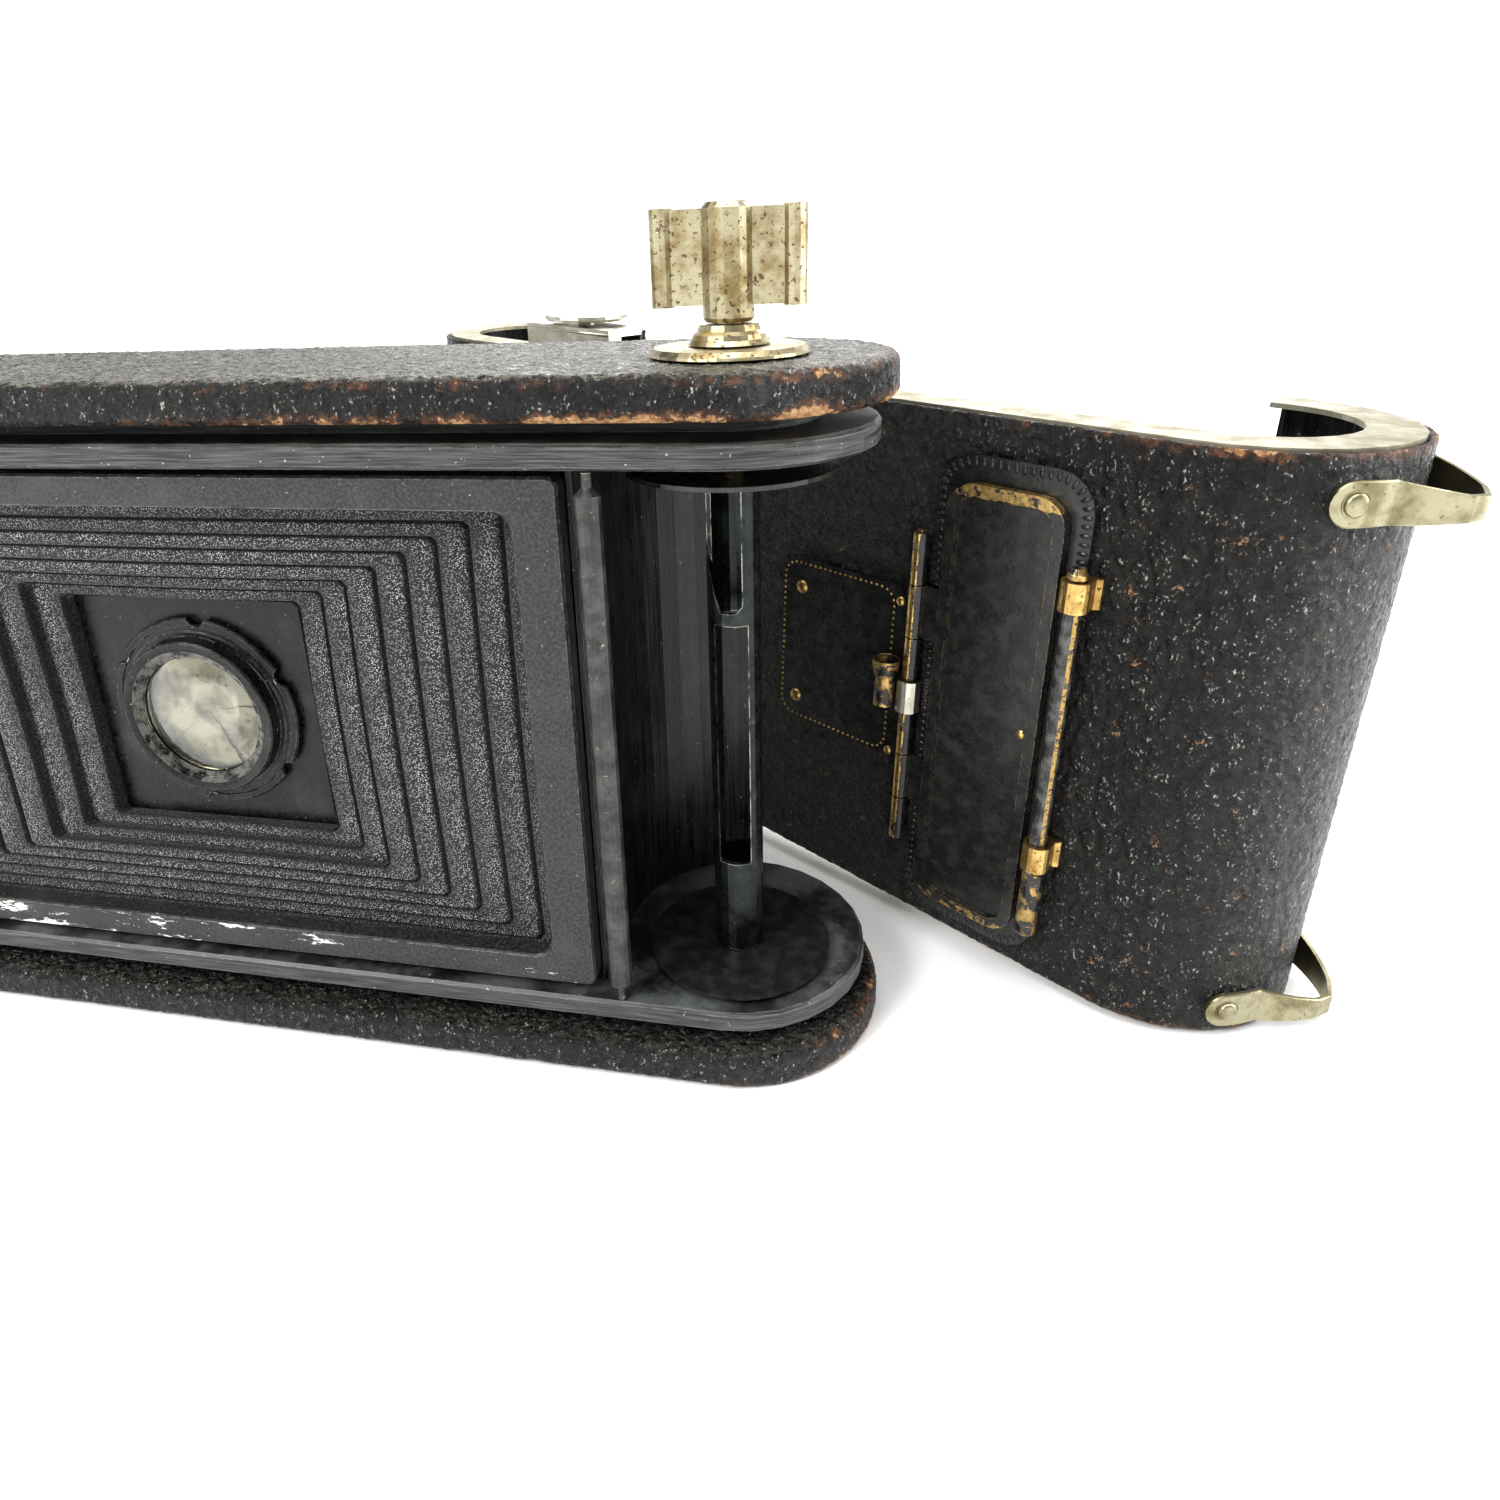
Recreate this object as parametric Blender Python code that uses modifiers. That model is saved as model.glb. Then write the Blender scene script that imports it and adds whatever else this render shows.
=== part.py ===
"""Folding postcard-format roll-film camera, standing on its long side with its back taken off.

Metres, +Z up. The origin is the centre of the bottom cover's underside. +X runs to the winding-key
end, +Y towards the lens and the drop bed. The bed stands open, the front is racked in, and the
loose back stands behind the body, resting on its rounded end and on its catch bar.
"""

import math

import bmesh
import bpy
from mathutils import Matrix, Vector

MM = 0.001
GAP = 0.3  # clearance between pieces that meet

# Body, in millimetres
HEIGHT = 120.8
DEPTH = 52.0
END_R = DEPTH / 2
HALF_STRAIGHT = 100.0  # from the middle to the axis of the rounded ends
COVER_T = 6.8
BOARD_LOW = 13.8  # inner face of each board, measured from the nearer outer face
BOARD_HIGH = 9.9
BOARD_INSET = 2.7
GROOVE_DEPTH = 12.0
MID_Z = HEIGHT / 2

# Picture gate, bellows and casing
GATE_HALF = (70.0, 40.0)
GATE_OUTER = (77.8, 45.4)
GATE_Y = (-21.5, -17.5)
CASING_HALF = (76.9, 46.2)
CASING_WALL = 2.0
FRONT_BACK_Y = 23.6  # rear face of the front panel

# Spool chambers
SPOOL = (100.7, -4.1)
FLANGE_R = 16.5
SPOOL_Z = (14.6, 104.2)
CORE_R = 4.4
ROLLER = (82.5, -22.0, 2.0)
CHAMBER_X = 101.0
CHAMBER_R = 22.0

# Drop bed, hinged on an upright pin near the far end from the key
HINGE = (-71.5, 27.6)
BED_LENGTH = 110.5
BED_HALF = 45.0
BED_OPENING = (-70.7, 41.6, 45.6)
BED_BUTTON_X = 60.0
STRUT_REACH = 30.0
STRUT_LENGTH = 49.0

# Front standard and shutter
LENS_X = 1.5
LENS_Z = MID_Z - 2.3
BOARD_Y = -8.0
SHUTTER_R = 26.0
FINDER = (31.0, 32.0)  # offset of the finder's swivel pin from the lens axis

# Loose back, drawn in its own frame: u along it, w away from its face, h up
BACK_AT = (163.7, 4.93, 1.0)
BACK_YAW = -34.76
BACK_TILT = 0.04
BACK_H = 105.7
BACK_R = 25.7
BACK_LEFT = -194.8
LIP_WIDTH = 8.0
SKIN = 1.2
DOOR_PIN_U = -41.6
DOOR = (-36.4, -14.7, 8.0, 94.0)  # u from, u to, h from, h to
STYLUS_AT = (-11.2, -3.9)  # u and w of its axis
STYLUS_RINGS = (79.3, 29.1)
LOOP_HALF = 3.6
LOOP_HEIGHTS = (98.0, 6.0)
LOOP_REACHES = (7.8, 7.0)
LOOP_RIVET = 52.0  # degrees round the rounded end
CATCH_U = (-157.0, -126.0)

parts = None
helpers = None


def clear_scene():
    for old in list(bpy.data.objects):
        bpy.data.objects.remove(old, do_unlink=True)


def new_collection(name):
    collection = bpy.data.collections.new(name)
    bpy.context.scene.collection.children.link(collection)
    return collection


def paint(name, colour, roughness, metallic=0.0):
    material = bpy.data.materials.get(name)
    if material:
        return material
    material = bpy.data.materials.new(name)
    material.use_nodes = True
    shader = material.node_tree.nodes["Principled BSDF"]
    shader.inputs["Base Color"].default_value = (*colour, 1.0)
    shader.inputs["Roughness"].default_value = roughness
    shader.inputs["Metallic"].default_value = metallic
    return material


def leather():
    return paint("leather", (0.016, 0.014, 0.013), 0.55)


def black_paint():
    return paint("black_paint", (0.028, 0.032, 0.032), 0.45)


def nickel():
    return paint("nickel", (0.55, 0.52, 0.42), 0.32, 1.0)


def brass():
    return paint("brass", (0.62, 0.42, 0.13), 0.3, 1.0)


def glass():
    return paint("glass", (0.75, 0.77, 0.7), 0.06)


# ---- outlines, in millimetres -------------------------------------------------------------


def arc(cx, cy, radius, start, end, steps):
    """Points on an arc, angles in degrees."""
    found = []
    for step in range(steps + 1):
        angle = math.radians(start + (end - start) * step / steps)
        found.append((cx + radius * math.cos(angle), cy + radius * math.sin(angle)))
    return found


def circle(cx, cy, radius, steps=20):
    return arc(cx, cy, radius, 0, 360, steps)[:-1]


def stadium(inset=0.0, steps=14):
    """The body's plan outline, drawn in by an inset."""
    radius = END_R - inset
    right = arc(HALF_STRAIGHT, 0, radius, -90, 90, steps)
    left = arc(-HALF_STRAIGHT, 0, radius, 90, 270, steps)
    return right + left


def rounded(low_a, high_a, low_b, high_b, radius=0.0, steps=3):
    """A rectangle from its sides, with rounded corners."""
    if radius <= 0:
        return [(low_a, low_b), (high_a, low_b), (high_a, high_b), (low_a, high_b)]
    points = arc(high_a - radius, high_b - radius, radius, 0, 90, steps)
    points += arc(low_a + radius, high_b - radius, radius, 90, 180, steps)
    points += arc(low_a + radius, low_b + radius, radius, 180, 270, steps)
    points += arc(high_a - radius, low_b + radius, radius, 270, 360, steps)
    return points


# ---- solids --------------------------------------------------------------------------------


def register(obj, material, parent=None, smooth=True):
    parts.objects.link(obj)
    obj.data.materials.clear()
    obj.data.materials.append(material)
    obj.parent = parent
    if smooth:
        obj.data.shade_smooth()
        obj.data.set_sharp_from_angle(angle=math.radians(35))
    return obj


def bevel(obj, width, segments=2, angle=40):
    modifier = obj.modifiers.new("edge", "BEVEL")
    modifier.width = width * MM
    modifier.segments = segments
    modifier.limit_method = "ANGLE"
    modifier.angle_limit = math.radians(angle)
    return obj


def mesh_of_curve(curve_object):
    """The welded mesh of a curve object, which is then removed."""
    bpy.context.view_layer.update()
    graph = bpy.context.evaluated_depsgraph_get()
    mesh = bpy.data.meshes.new_from_object(curve_object.evaluated_get(graph))
    work = bmesh.new()
    work.from_mesh(mesh)
    bmesh.ops.remove_doubles(work, verts=work.verts, dist=1e-6)
    bmesh.ops.recalc_face_normals(work, faces=work.faces)
    work.to_mesh(mesh)
    work.free()
    bpy.data.objects.remove(curve_object, do_unlink=True)
    return mesh


PLANES = {
    "XY": Matrix.Identity(4),
    "XZ": Matrix(((1, 0, 0, 0), (0, 0, -1, 0), (0, 1, 0, 0), (0, 0, 0, 1))),
    "YZ": Matrix(((0, 0, 1, 0), (1, 0, 0, 0), (0, 1, 0, 0), (0, 0, 0, 1))),
}


def plate(name, loops, low, high, material, plane="XY", parent=None, pivot=(0, 0, 0)):
    """A flat piece: its first loop is the outline and the others are holes.

    The plane names the two axes that the loops use. The piece fills low to high along the third
    one. The pivot, in millimetres, becomes the object's origin.
    """
    curve = bpy.data.curves.new(name, "CURVE")
    curve.dimensions = "2D"
    curve.fill_mode = "BOTH"
    curve.extrude = (high - low) / 2 * MM
    for loop in loops:
        spline = curve.splines.new("POLY")
        spline.points.add(len(loop) - 1)
        for point, (a, b) in zip(spline.points, loop):
            point.co = (a * MM, b * MM, 0, 1)
        spline.use_cyclic_u = True
    flat = bpy.data.objects.new(name + "_outline", curve)
    bpy.context.scene.collection.objects.link(flat)
    mesh = mesh_of_curve(flat)
    normal = PLANES[plane] @ Vector((0, 0, 1))
    middle = Vector(abs(value) for value in normal.to_3d()) * (low + high) / 2 * MM
    mesh.transform(Matrix.Translation(middle - Vector(pivot) * MM) @ PLANES[plane])
    obj = bpy.data.objects.new(name, mesh)
    obj.location = Vector(pivot) * MM
    return register(obj, material, parent)


def box(name, low, high, material, parent=None, pivot=None, edge=0.0):
    """A block between two corners, in millimetres."""
    work = bmesh.new()
    size = [(b - a) * MM for a, b in zip(low, high)]
    middle = Vector((a + b) / 2 * MM for a, b in zip(low, high))
    origin = Vector(pivot) * MM if pivot else middle
    bmesh.ops.create_cube(work, size=1.0, matrix=Matrix.Diagonal((*size, 1.0)))
    bmesh.ops.translate(work, verts=work.verts, vec=middle - origin)
    mesh = bpy.data.meshes.new(name)
    work.to_mesh(mesh)
    work.free()
    obj = bpy.data.objects.new(name, mesh)
    obj.location = origin
    register(obj, material, parent, smooth=edge > 0)
    if edge:
        bevel(obj, edge)
    return obj


AXES = {"Z": (0, 0, 0), "Y": (-math.pi / 2, 0, 0), "X": (0, math.pi / 2, 0)}


def turned(name, profile, at, material, axis="Z", parent=None, steps=24, ring=False):
    """A turned piece: (radius, height) points from the top down the outer side.

    A ring's profile closes on itself. Other profiles start and end on the axis.
    """
    work = bmesh.new()
    verts = [work.verts.new((radius * MM, 0, height * MM)) for radius, height in profile]
    for first, second in zip(verts, verts[1:]):
        work.edges.new((first, second))
    if ring:
        work.edges.new((verts[-1], verts[0]))
    mesh = bpy.data.meshes.new(name)
    work.to_mesh(mesh)
    work.free()
    obj = bpy.data.objects.new(name, mesh)
    obj.location = Vector(at) * MM
    obj.rotation_euler = AXES[axis]
    register(obj, material, parent)
    screw = obj.modifiers.new("turn", "SCREW")
    screw.steps = steps
    screw.render_steps = steps
    screw.use_merge_vertices = True
    screw.merge_threshold = 0.00001
    screw.use_smooth_shade = True
    return obj


def rod(name, radius, start, end, at, material, axis="Z", parent=None, steps=16):
    """A plain round rod between two heights on an axis."""
    profile = [(0, end), (radius, end), (radius, start), (0, start)]
    return turned(name, profile, at, material, axis, parent, steps)


def combine(target, tool, operation):
    """Joins a tool to a piece or cuts it away. The tool is kept as a hidden helper."""
    parts.objects.unlink(tool)
    helpers.objects.link(tool)
    tool.hide_render = True
    tool.display_type = "WIRE"
    modifier = target.modifiers.new(operation.lower(), "BOOLEAN")
    modifier.operation = operation
    modifier.object = tool
    return target


def unite(target, *tools):
    for tool in tools:
        combine(target, tool, "UNION")
    return target


def cut(target, *tools):
    for tool in tools:
        combine(target, tool, "DIFFERENCE")
    return target


# ---- body ----------------------------------------------------------------------------------


def make_covers():
    """The two leather-covered side boards that the body stands between."""
    tripod = circle(0, 8, 6.3, 16)
    key_hole = circle(*SPOOL, 3.2, 14)
    knob_hole = circle(-SPOOL[0], SPOOL[1], 3.2, 14)
    bottom = plate("bottom_cover", [stadium(), tripod], 0, COVER_T, leather())
    top = plate("top_cover", [stadium(), key_hole, knob_hole], HEIGHT - COVER_T, HEIGHT, leather())
    bevel(bottom, 1.6, 2)
    bevel(top, 1.6, 2)
    ring = [(6.0, 5.5), (6.0, 0.3), (3.3, 0.3), (3.3, 5.5)]
    turned("tripod_socket", ring, (0, 8, 0), nickel(), steps=16, ring=True)


def make_boards():
    """Black boards under the covers. The groove between board and cover takes the back's lips."""
    holes = [circle(side * SPOOL[0], SPOOL[1], 2.6, 12) for side in (1, -1)]
    outline = stadium(BOARD_INSET)
    core = stadium(GROOVE_DEPTH)
    overlap = 1.0
    low = plate("bottom_board", [outline], BOARD_HIGH, BOARD_LOW, black_paint())
    low_core = plate("bottom_spacer", [core], COVER_T + GAP, BOARD_HIGH + overlap, black_paint())
    unite(bevel(low, 0.5, 1), low_core)
    start, end = HEIGHT - BOARD_LOW, HEIGHT - BOARD_HIGH
    high = plate("top_board", [outline] + holes, start, end, black_paint())
    top_loops = [core] + holes
    high_core = plate("top_spacer", top_loops, end - overlap, HEIGHT - COVER_T - GAP, black_paint())
    unite(bevel(high, 0.5, 1), high_core)


def make_gate():
    outer_x, outer_z = GATE_OUTER
    half_x, half_z = GATE_HALF
    outline = rounded(-outer_x, outer_x, MID_Z - outer_z, MID_Z + outer_z, 1.5, 2)
    window = rounded(-half_x, half_x, MID_Z - half_z, MID_Z + half_z, 3.0, 3)
    frame = plate("gate_frame", [outline, window], *GATE_Y, black_paint(), "XZ")
    bevel(frame, 1.1, 1)


def make_casing():
    """The box behind the gate that the folded bellows and the front sit in."""
    half_x, half_z = CASING_HALF
    outline = rounded(-half_x, half_x, MID_Z - half_z, MID_Z + half_z)
    inner_x = half_x - CASING_WALL
    inner_z = half_z - CASING_WALL
    inside = rounded(-inner_x, inner_x, MID_Z - inner_z, MID_Z + inner_z)
    rear = GATE_Y[1] + GAP
    plate("inner_casing", [outline, inside], rear, FRONT_BACK_Y - GAP, black_paint(), "XZ")


def make_front_panel():
    half_x = HALF_STRAIGHT + 1.0
    low_z = COVER_T + GAP
    outline = rounded(-half_x, half_x, low_z, HEIGHT - low_z, 1.0, 2)
    left, right, half_z = BED_OPENING
    window = rounded(left, right, MID_Z - half_z, MID_Z + half_z, 1.5, 2)
    button_hole = circle(BED_BUTTON_X, MID_Z, 3.6, 14)
    panel = plate("front_panel", [outline, window, button_hole], FRONT_BACK_Y, END_R, leather(), "XZ")
    bevel(panel, 0.6, 1)


def make_chambers():
    """Curved sheets that close each spool chamber towards the lens side."""
    for side, word in ((1, "right"), (-1, "left")):
        outer = CHAMBER_R + 0.9
        start_y = -18.0
        outside = [(CHAMBER_X - outer, start_y)] + arc(CHAMBER_X, 0, outer, 180, 90, 9)
        inside = arc(CHAMBER_X, 0, CHAMBER_R, 90, 180, 9) + [(CHAMBER_X - CHAMBER_R, start_y)]
        outline = [(side * x, y) for x, y in outside + inside]
        low = BOARD_LOW + GAP
        plate("chamber_wall_" + word, [outline], low, HEIGHT - low, black_paint())


def make_rollers():
    """Film rollers, each one rod turned down to thin pins at its ends."""
    x, y, radius = ROLLER
    low = BOARD_LOW + GAP
    high = HEIGHT - low
    neck = 0.8
    profile = [(0, high), (neck, high), (neck, high - 2.2), (radius, high - 3.4)]
    profile += [(radius, low + 3.4), (neck, low + 2.2), (neck, low), (0, low)]
    for side, word in ((1, "right"), (-1, "left")):
        turned("film_roller_" + word, profile, (side * x, y, 0), black_paint(), steps=14)


def make_take_up_spool():
    x, y = SPOOL
    low, high = SPOOL_Z
    thick = 0.7
    lower = circle(x, y, FLANGE_R, 36)
    plate("spool_flange_lower", [lower], low, low + thick, black_paint(), pivot=(x, y, 0))
    slot = circle(x, y, 1.9, 10)
    plate("spool_flange_upper", [lower, slot], high - thick, high, black_paint(), pivot=(x, y, 0))
    start = low + thick + GAP
    end = high - thick - GAP
    wall = 0.8
    core = turned(
        "spool_core",
        [(CORE_R, end), (CORE_R, start), (CORE_R - wall, start), (CORE_R - wall, end)],
        (x, y, 0),
        black_paint(),
        ring=True,
        steps=20,
    )
    slot_low = MID_Z - 26.6
    slot_high = MID_Z + 18.2
    reach = CORE_R + 1
    slot_box = box(
        "core_slot", (x - 2.7, y - reach, slot_low), (x + 2.7, y + reach, slot_high), black_paint()
    )
    base = slot_high + 2.2
    top = end + 1
    shape = [(x - 1.6, base), (x + 0.9, base), (x + 1.9, base + 1.2), (x + 1.9, top)]
    shape += [(x - 5.0, top), (x - 5.0, base + 14), (x - 2.6, base + 3)]
    notch = plate("core_notch", [shape], y - reach, y + 0.4, black_paint(), "XZ")
    cut(core, slot_box, notch)


def make_spool_centres():
    """Fixed lower centres that the spools turn on."""
    for side, word in ((1, "right"), (-1, "left")):
        profile = [(0, 14.4), (2.6, 14.4), (3.4, 14.1), (0, 14.1)]
        if side < 0:
            profile = [(0, 18.6), (1.4, 18.6), (1.8, 17.8), (1.8, 15.4), (4.0, 14.9)]
            profile += [(4.0, 14.1), (0, 14.1)]
        at = (side * SPOOL[0], SPOOL[1], 0)
        turned("spool_centre_" + word, profile, at, nickel(), steps=14)


def make_winding_key():
    """Base plate, lifting sleeve and a key with two wings rolled at their tips."""
    x, y = SPOOL
    face = HEIGHT + 0.15
    base = [(11.9, face + 0.4), (12.1, face), (4.2, face), (4.2, face + 1.1), (11.3, face + 1.1)]
    turned("key_plate", base, (x, y, 0), nickel(), ring=True, steps=36)
    low = face + 1.4
    sleeve = [(4.4, low + 2.8), (4.7, low + 1.9), (5.4, low + 1.4), (5.6, low + 0.7), (6.2, low)]
    sleeve += [(2.3, low), (2.3, low + 2.8)]
    turned("key_sleeve", sleeve, (x, y, 0), nickel(), ring=True, steps=28)
    hub_low = low + 2.8 + GAP
    hub_high = HEIGHT + 21.0
    shaft_low = 104.8
    hub = [(0, hub_high), (3.1, hub_high), (3.8, hub_high - 0.8), (3.8, hub_low + 0.6)]
    hub += [(3.4, hub_low), (1.9, hub_low), (1.9, shaft_low), (0, shaft_low)]
    key = turned("winding_key", hub, (x, y, 0), nickel(), steps=20)
    wing_low = HEIGHT + 7.0
    wing_high = HEIGHT + 20.2
    wings = box("key_wings", (x - 9.4, y - 0.8, wing_low), (x + 9.4, y + 0.8, wing_high), nickel())
    unite(key, wings)
    for side in (-1, 1):
        roll = rod(
            "key_roll_%d" % (side + 2), 1.7, wing_low - 0.2, wing_high + 0.2,
            (x + side * 9.8, y, 0), nickel(), steps=12,
        )
        unite(key, roll)


def make_pull_knob():
    """Spring knob on the far end's spool, pulled up to free it."""
    top = HEIGHT + 0.3
    profile = [(0, top + 4.6), (4.2, top + 4.6), (5.4, top + 3.9), (5.6, top + 2.0), (5.0, top + 1.2)]
    profile += [(5.0, top), (2.2, top), (2.2, 104.8), (1.6, 103.6), (0, 103.6)]
    turned("pull_knob", profile, (-SPOOL[0], SPOOL[1], 0), nickel(), steps=20)


def make_release_button():
    """Button on the front that frees the bed catch."""
    stem = [(0, 28.4), (2.2, 28.4), (3.2, 27.6), (3.2, 24.4), (0, 24.4)]
    turned("bed_button", stem, (BED_BUTTON_X, 0, MID_Z), nickel(), axis="Y", steps=18)


def make_slide_track():
    """Track inside the body that the carriage slides off towards the bed's own track."""
    low_x = -CASING_HALF[0] + CASING_WALL + GAP
    rails = [(low_x, MID_Z - 18)]
    rails += [(-67.2, MID_Z - 18), (-67.2, MID_Z - 15), (-68.6, MID_Z - 15), (-68.6, MID_Z + 15)]
    rails += [(-67.2, MID_Z + 15), (-67.2, MID_Z + 18), (low_x, MID_Z + 18)]
    plate("slide_track", [rails], -12.0, 19.0, nickel(), "XZ")


# ---- bed -----------------------------------------------------------------------------------


def make_bed():
    """Drop bed, drawn open, with its hinge barrel on the outside of the body."""
    x, y = HINGE
    inner = x + 3.5
    tip = y + BED_LENGTH
    low, high = MID_Z - BED_HALF, MID_Z + BED_HALF
    outline = rounded(y + 1.8, tip, low, high, 3.0, 3)
    tray = plate("bed_plate", [outline], x + 1.9, inner, black_paint(), "YZ")
    barrel = rod("bed_barrel", 1.3, low + 2, high - 2, (x, y, 0), black_paint(), steps=12)
    low_end, high_end = low + 2, high - 2
    tail = box("bed_tail", (x + 0.2, y, low_end), (x + 1.2, y + 2.6, high_end), black_paint())
    web = box("bed_web", (x + 0.9, y + 1.5, low_end), (x + 2.2, y + 2.8, high_end), black_paint())
    unite(tray, web, tail, barrel)
    cover = rounded(y + 3.1, tip, low, high, 3.0, 3)
    bevel(plate("bed_cover", [cover], x + 0.4, x + 1.6, leather(), "YZ"), 0.3, 1)
    track_low = inner + GAP
    rails = rounded(track_low, track_low + 0.5, MID_Z - 18, MID_Z + 18)
    plate("bed_track", [rails], y + 5, tip - 8, nickel(), "XZ")
    catch = [(tip - 1, MID_Z - 7), (tip + 1.6, MID_Z - 5), (tip + 1.6, MID_Z + 5), (tip - 1, MID_Z + 7)]
    unite(tray, plate("bed_catch", [catch], x + 2.2, inner - 0.4, nickel(), "YZ"))


def make_struts():
    """Flat links that hold the bed square. The end at the body runs free."""
    x, y = HINGE
    start = Vector((x + 6.5, y + STRUT_REACH))
    end = start + STRUT_LENGTH * Vector((math.cos(math.radians(-45)), math.sin(math.radians(-45))))
    half = 2.6
    for side, word in ((1, "upper"), (-1, "lower")):
        outline = arc(start.x, start.y, half, 45, 225, 6) + arc(end.x, end.y, half, 225, 405, 6)
        level = MID_Z + side * 42.8
        pivot = (start.x, start.y, level)
        plate("bed_strut_" + word, [outline], level - 0.5, level + 0.5, nickel(), pivot=pivot)


def make_foot():
    """Small folding foot lying on the bed's outer side."""
    x = HINGE[0]
    low_y, high_y = 108.0, 128.0
    outline = rounded(low_y, high_y, MID_Z - 9, MID_Z + 9, 3.0, 3)
    foot = plate("folding_foot", [outline], x - 1.0, x + 0.1, nickel(), "YZ", pivot=(x - 0.4, high_y, MID_Z))
    bevel(foot, 0.25, 1)


# ---- front ---------------------------------------------------------------------------------


def make_bellows():
    """The folded bellows as one plain tapering sleeve between the gate and the lens board."""
    def ring(half_x, half_z, x, y, z):
        corners = ((-1, -1), (1, -1), (1, 1), (-1, 1))
        points = [((x + a * half_x) * MM, y * MM, (z + b * half_z) * MM) for a, b in corners]
        return [work.verts.new(point) for point in points]

    work = bmesh.new()
    rear = GATE_Y[1] + GAP
    front = BOARD_Y - GAP
    wall = 1.5
    rings = [
        ring(72.5, 42.5, 0, rear, MID_Z),
        ring(22.8, 22.2, LENS_X, front, LENS_Z),
        ring(22.8 - wall, 22.2 - wall, LENS_X, front, LENS_Z),
        ring(72.5 - 2 * wall, 42.5 - 2 * wall, 0, rear, MID_Z),
    ]
    for first, second in zip(rings, rings[1:] + rings[:1]):
        for index in range(4):
            after = (index + 1) % 4
            work.faces.new((first[index], first[after], second[after], second[index]))
    bmesh.ops.recalc_face_normals(work, faces=work.faces)
    mesh = bpy.data.meshes.new("bellows")
    work.to_mesh(mesh)
    work.free()
    register(bpy.data.objects.new("bellows", mesh), paint("cloth", (0.02, 0.022, 0.022), 0.8), smooth=False)


def make_standard():
    """Carriage, upright frame and lens board, racked in as far as they go."""
    half = 23.6
    frame_y = (BOARD_Y + 1.8, BOARD_Y + 3.8)
    box("carriage", (-66.9, frame_y[0] - 2.0, MID_Z - 20), (-63.9, 16.0, MID_Z + 20), nickel(), edge=0.4)
    outline = rounded(-63.6, LENS_X + half + 5, LENS_Z - half - 4, LENS_Z + half + 4, 4.0, 3)
    window = rounded(LENS_X - 22.0, LENS_X + 22.0, LENS_Z - 22.0, LENS_Z + 22.0, 2.0, 2)
    slot = rounded(-57.0, -30.0, LENS_Z - 20.0, LENS_Z + 20.0, 4.0, 3)
    frame = plate("standard_frame", [outline, window, slot], *frame_y, nickel(), "XZ")
    bevel(frame, 0.3, 1)
    board = rounded(LENS_X - half, LENS_X + half, LENS_Z - half, LENS_Z + half, 1.0, 2)
    hole = circle(LENS_X, LENS_Z, 16.2, 24)
    plate("lens_board", [board, hole], BOARD_Y, BOARD_Y + 1.5, black_paint(), "XZ")


def make_lens():
    """Cells and glasses. Their turning axis lies along Y, front end last."""
    at = (LENS_X, 0, LENS_Z)
    flange = [(15.9, -1.2), (15.9, -8.4), (18.8, -8.4), (18.8, -9.6), (15.2, -9.6)]
    flange += [(15.2, -12.4), (11.9, -12.4), (11.9, -1.2)]
    turned("rear_cell", flange, at, black_paint(), axis="Y", ring=True, steps=36)
    bulge = [(0, -7.5), (11.6, -8.6), (11.6, -10.4), (8.0, -11.2), (4.0, -11.7), (0, -11.8)]
    turned("rear_lens", bulge, at, glass(), axis="Y", steps=28)
    case = [(12.6, 12.0), (SHUTTER_R - 1.5, 12.0), (SHUTTER_R, 10.5), (SHUTTER_R, -3.9)]
    case += [(16.4, -3.9), (16.4, -0.9), (12.6, -0.9)]
    turned("shutter_case", case, at, black_paint(), axis="Y", ring=True, steps=40)
    cell = [(9.0, 17.4), (11.8, 17.4), (14.0, 15.8), (14.6, 12.3), (9.0, 12.3)]
    turned("front_cell", cell, at, nickel(), axis="Y", ring=True, steps=32)
    glass_profile = [(0, 16.2), (4.5, 15.9), (8.7, 14.9), (8.7, 13.2), (0, 13.2)]
    turned("front_lens", glass_profile, at, glass(), axis="Y", steps=24)


def make_controls():
    """Release lever, iris pointer and speed pointer on the shutter's face."""
    face = 12.3
    pivot_x, pivot_z = LENS_X - 21.0, LENS_Z + 21.5
    lever = rounded(pivot_x - 2, pivot_x + 2, pivot_z - 1, pivot_z + 13, 1.5, 3)
    plate("release_lever", [lever], 4.0, 5.2, nickel(), "XZ", pivot=(pivot_x, 4.6, pivot_z))
    for name, centre, reach in (("speed_pointer", LENS_Z + 19.5, 3.8), ("iris_pointer", LENS_Z - 19.5, 3.8)):
        outline = circle(LENS_X, centre, 2.4, 12)
        needle = plate(name, [outline], face, face + 0.9, nickel(), "XZ", pivot=(LENS_X, face, centre))
        end = centre + (reach if centre > LENS_Z else -reach)
        tip = rounded(LENS_X - 0.6, LENS_X + 0.6, min(centre, end), max(centre, end))
        bar = plate(name + "_tip", [tip], face + 0.1, face + 0.8, nickel(), "XZ")
        unite(needle, bar)


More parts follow.
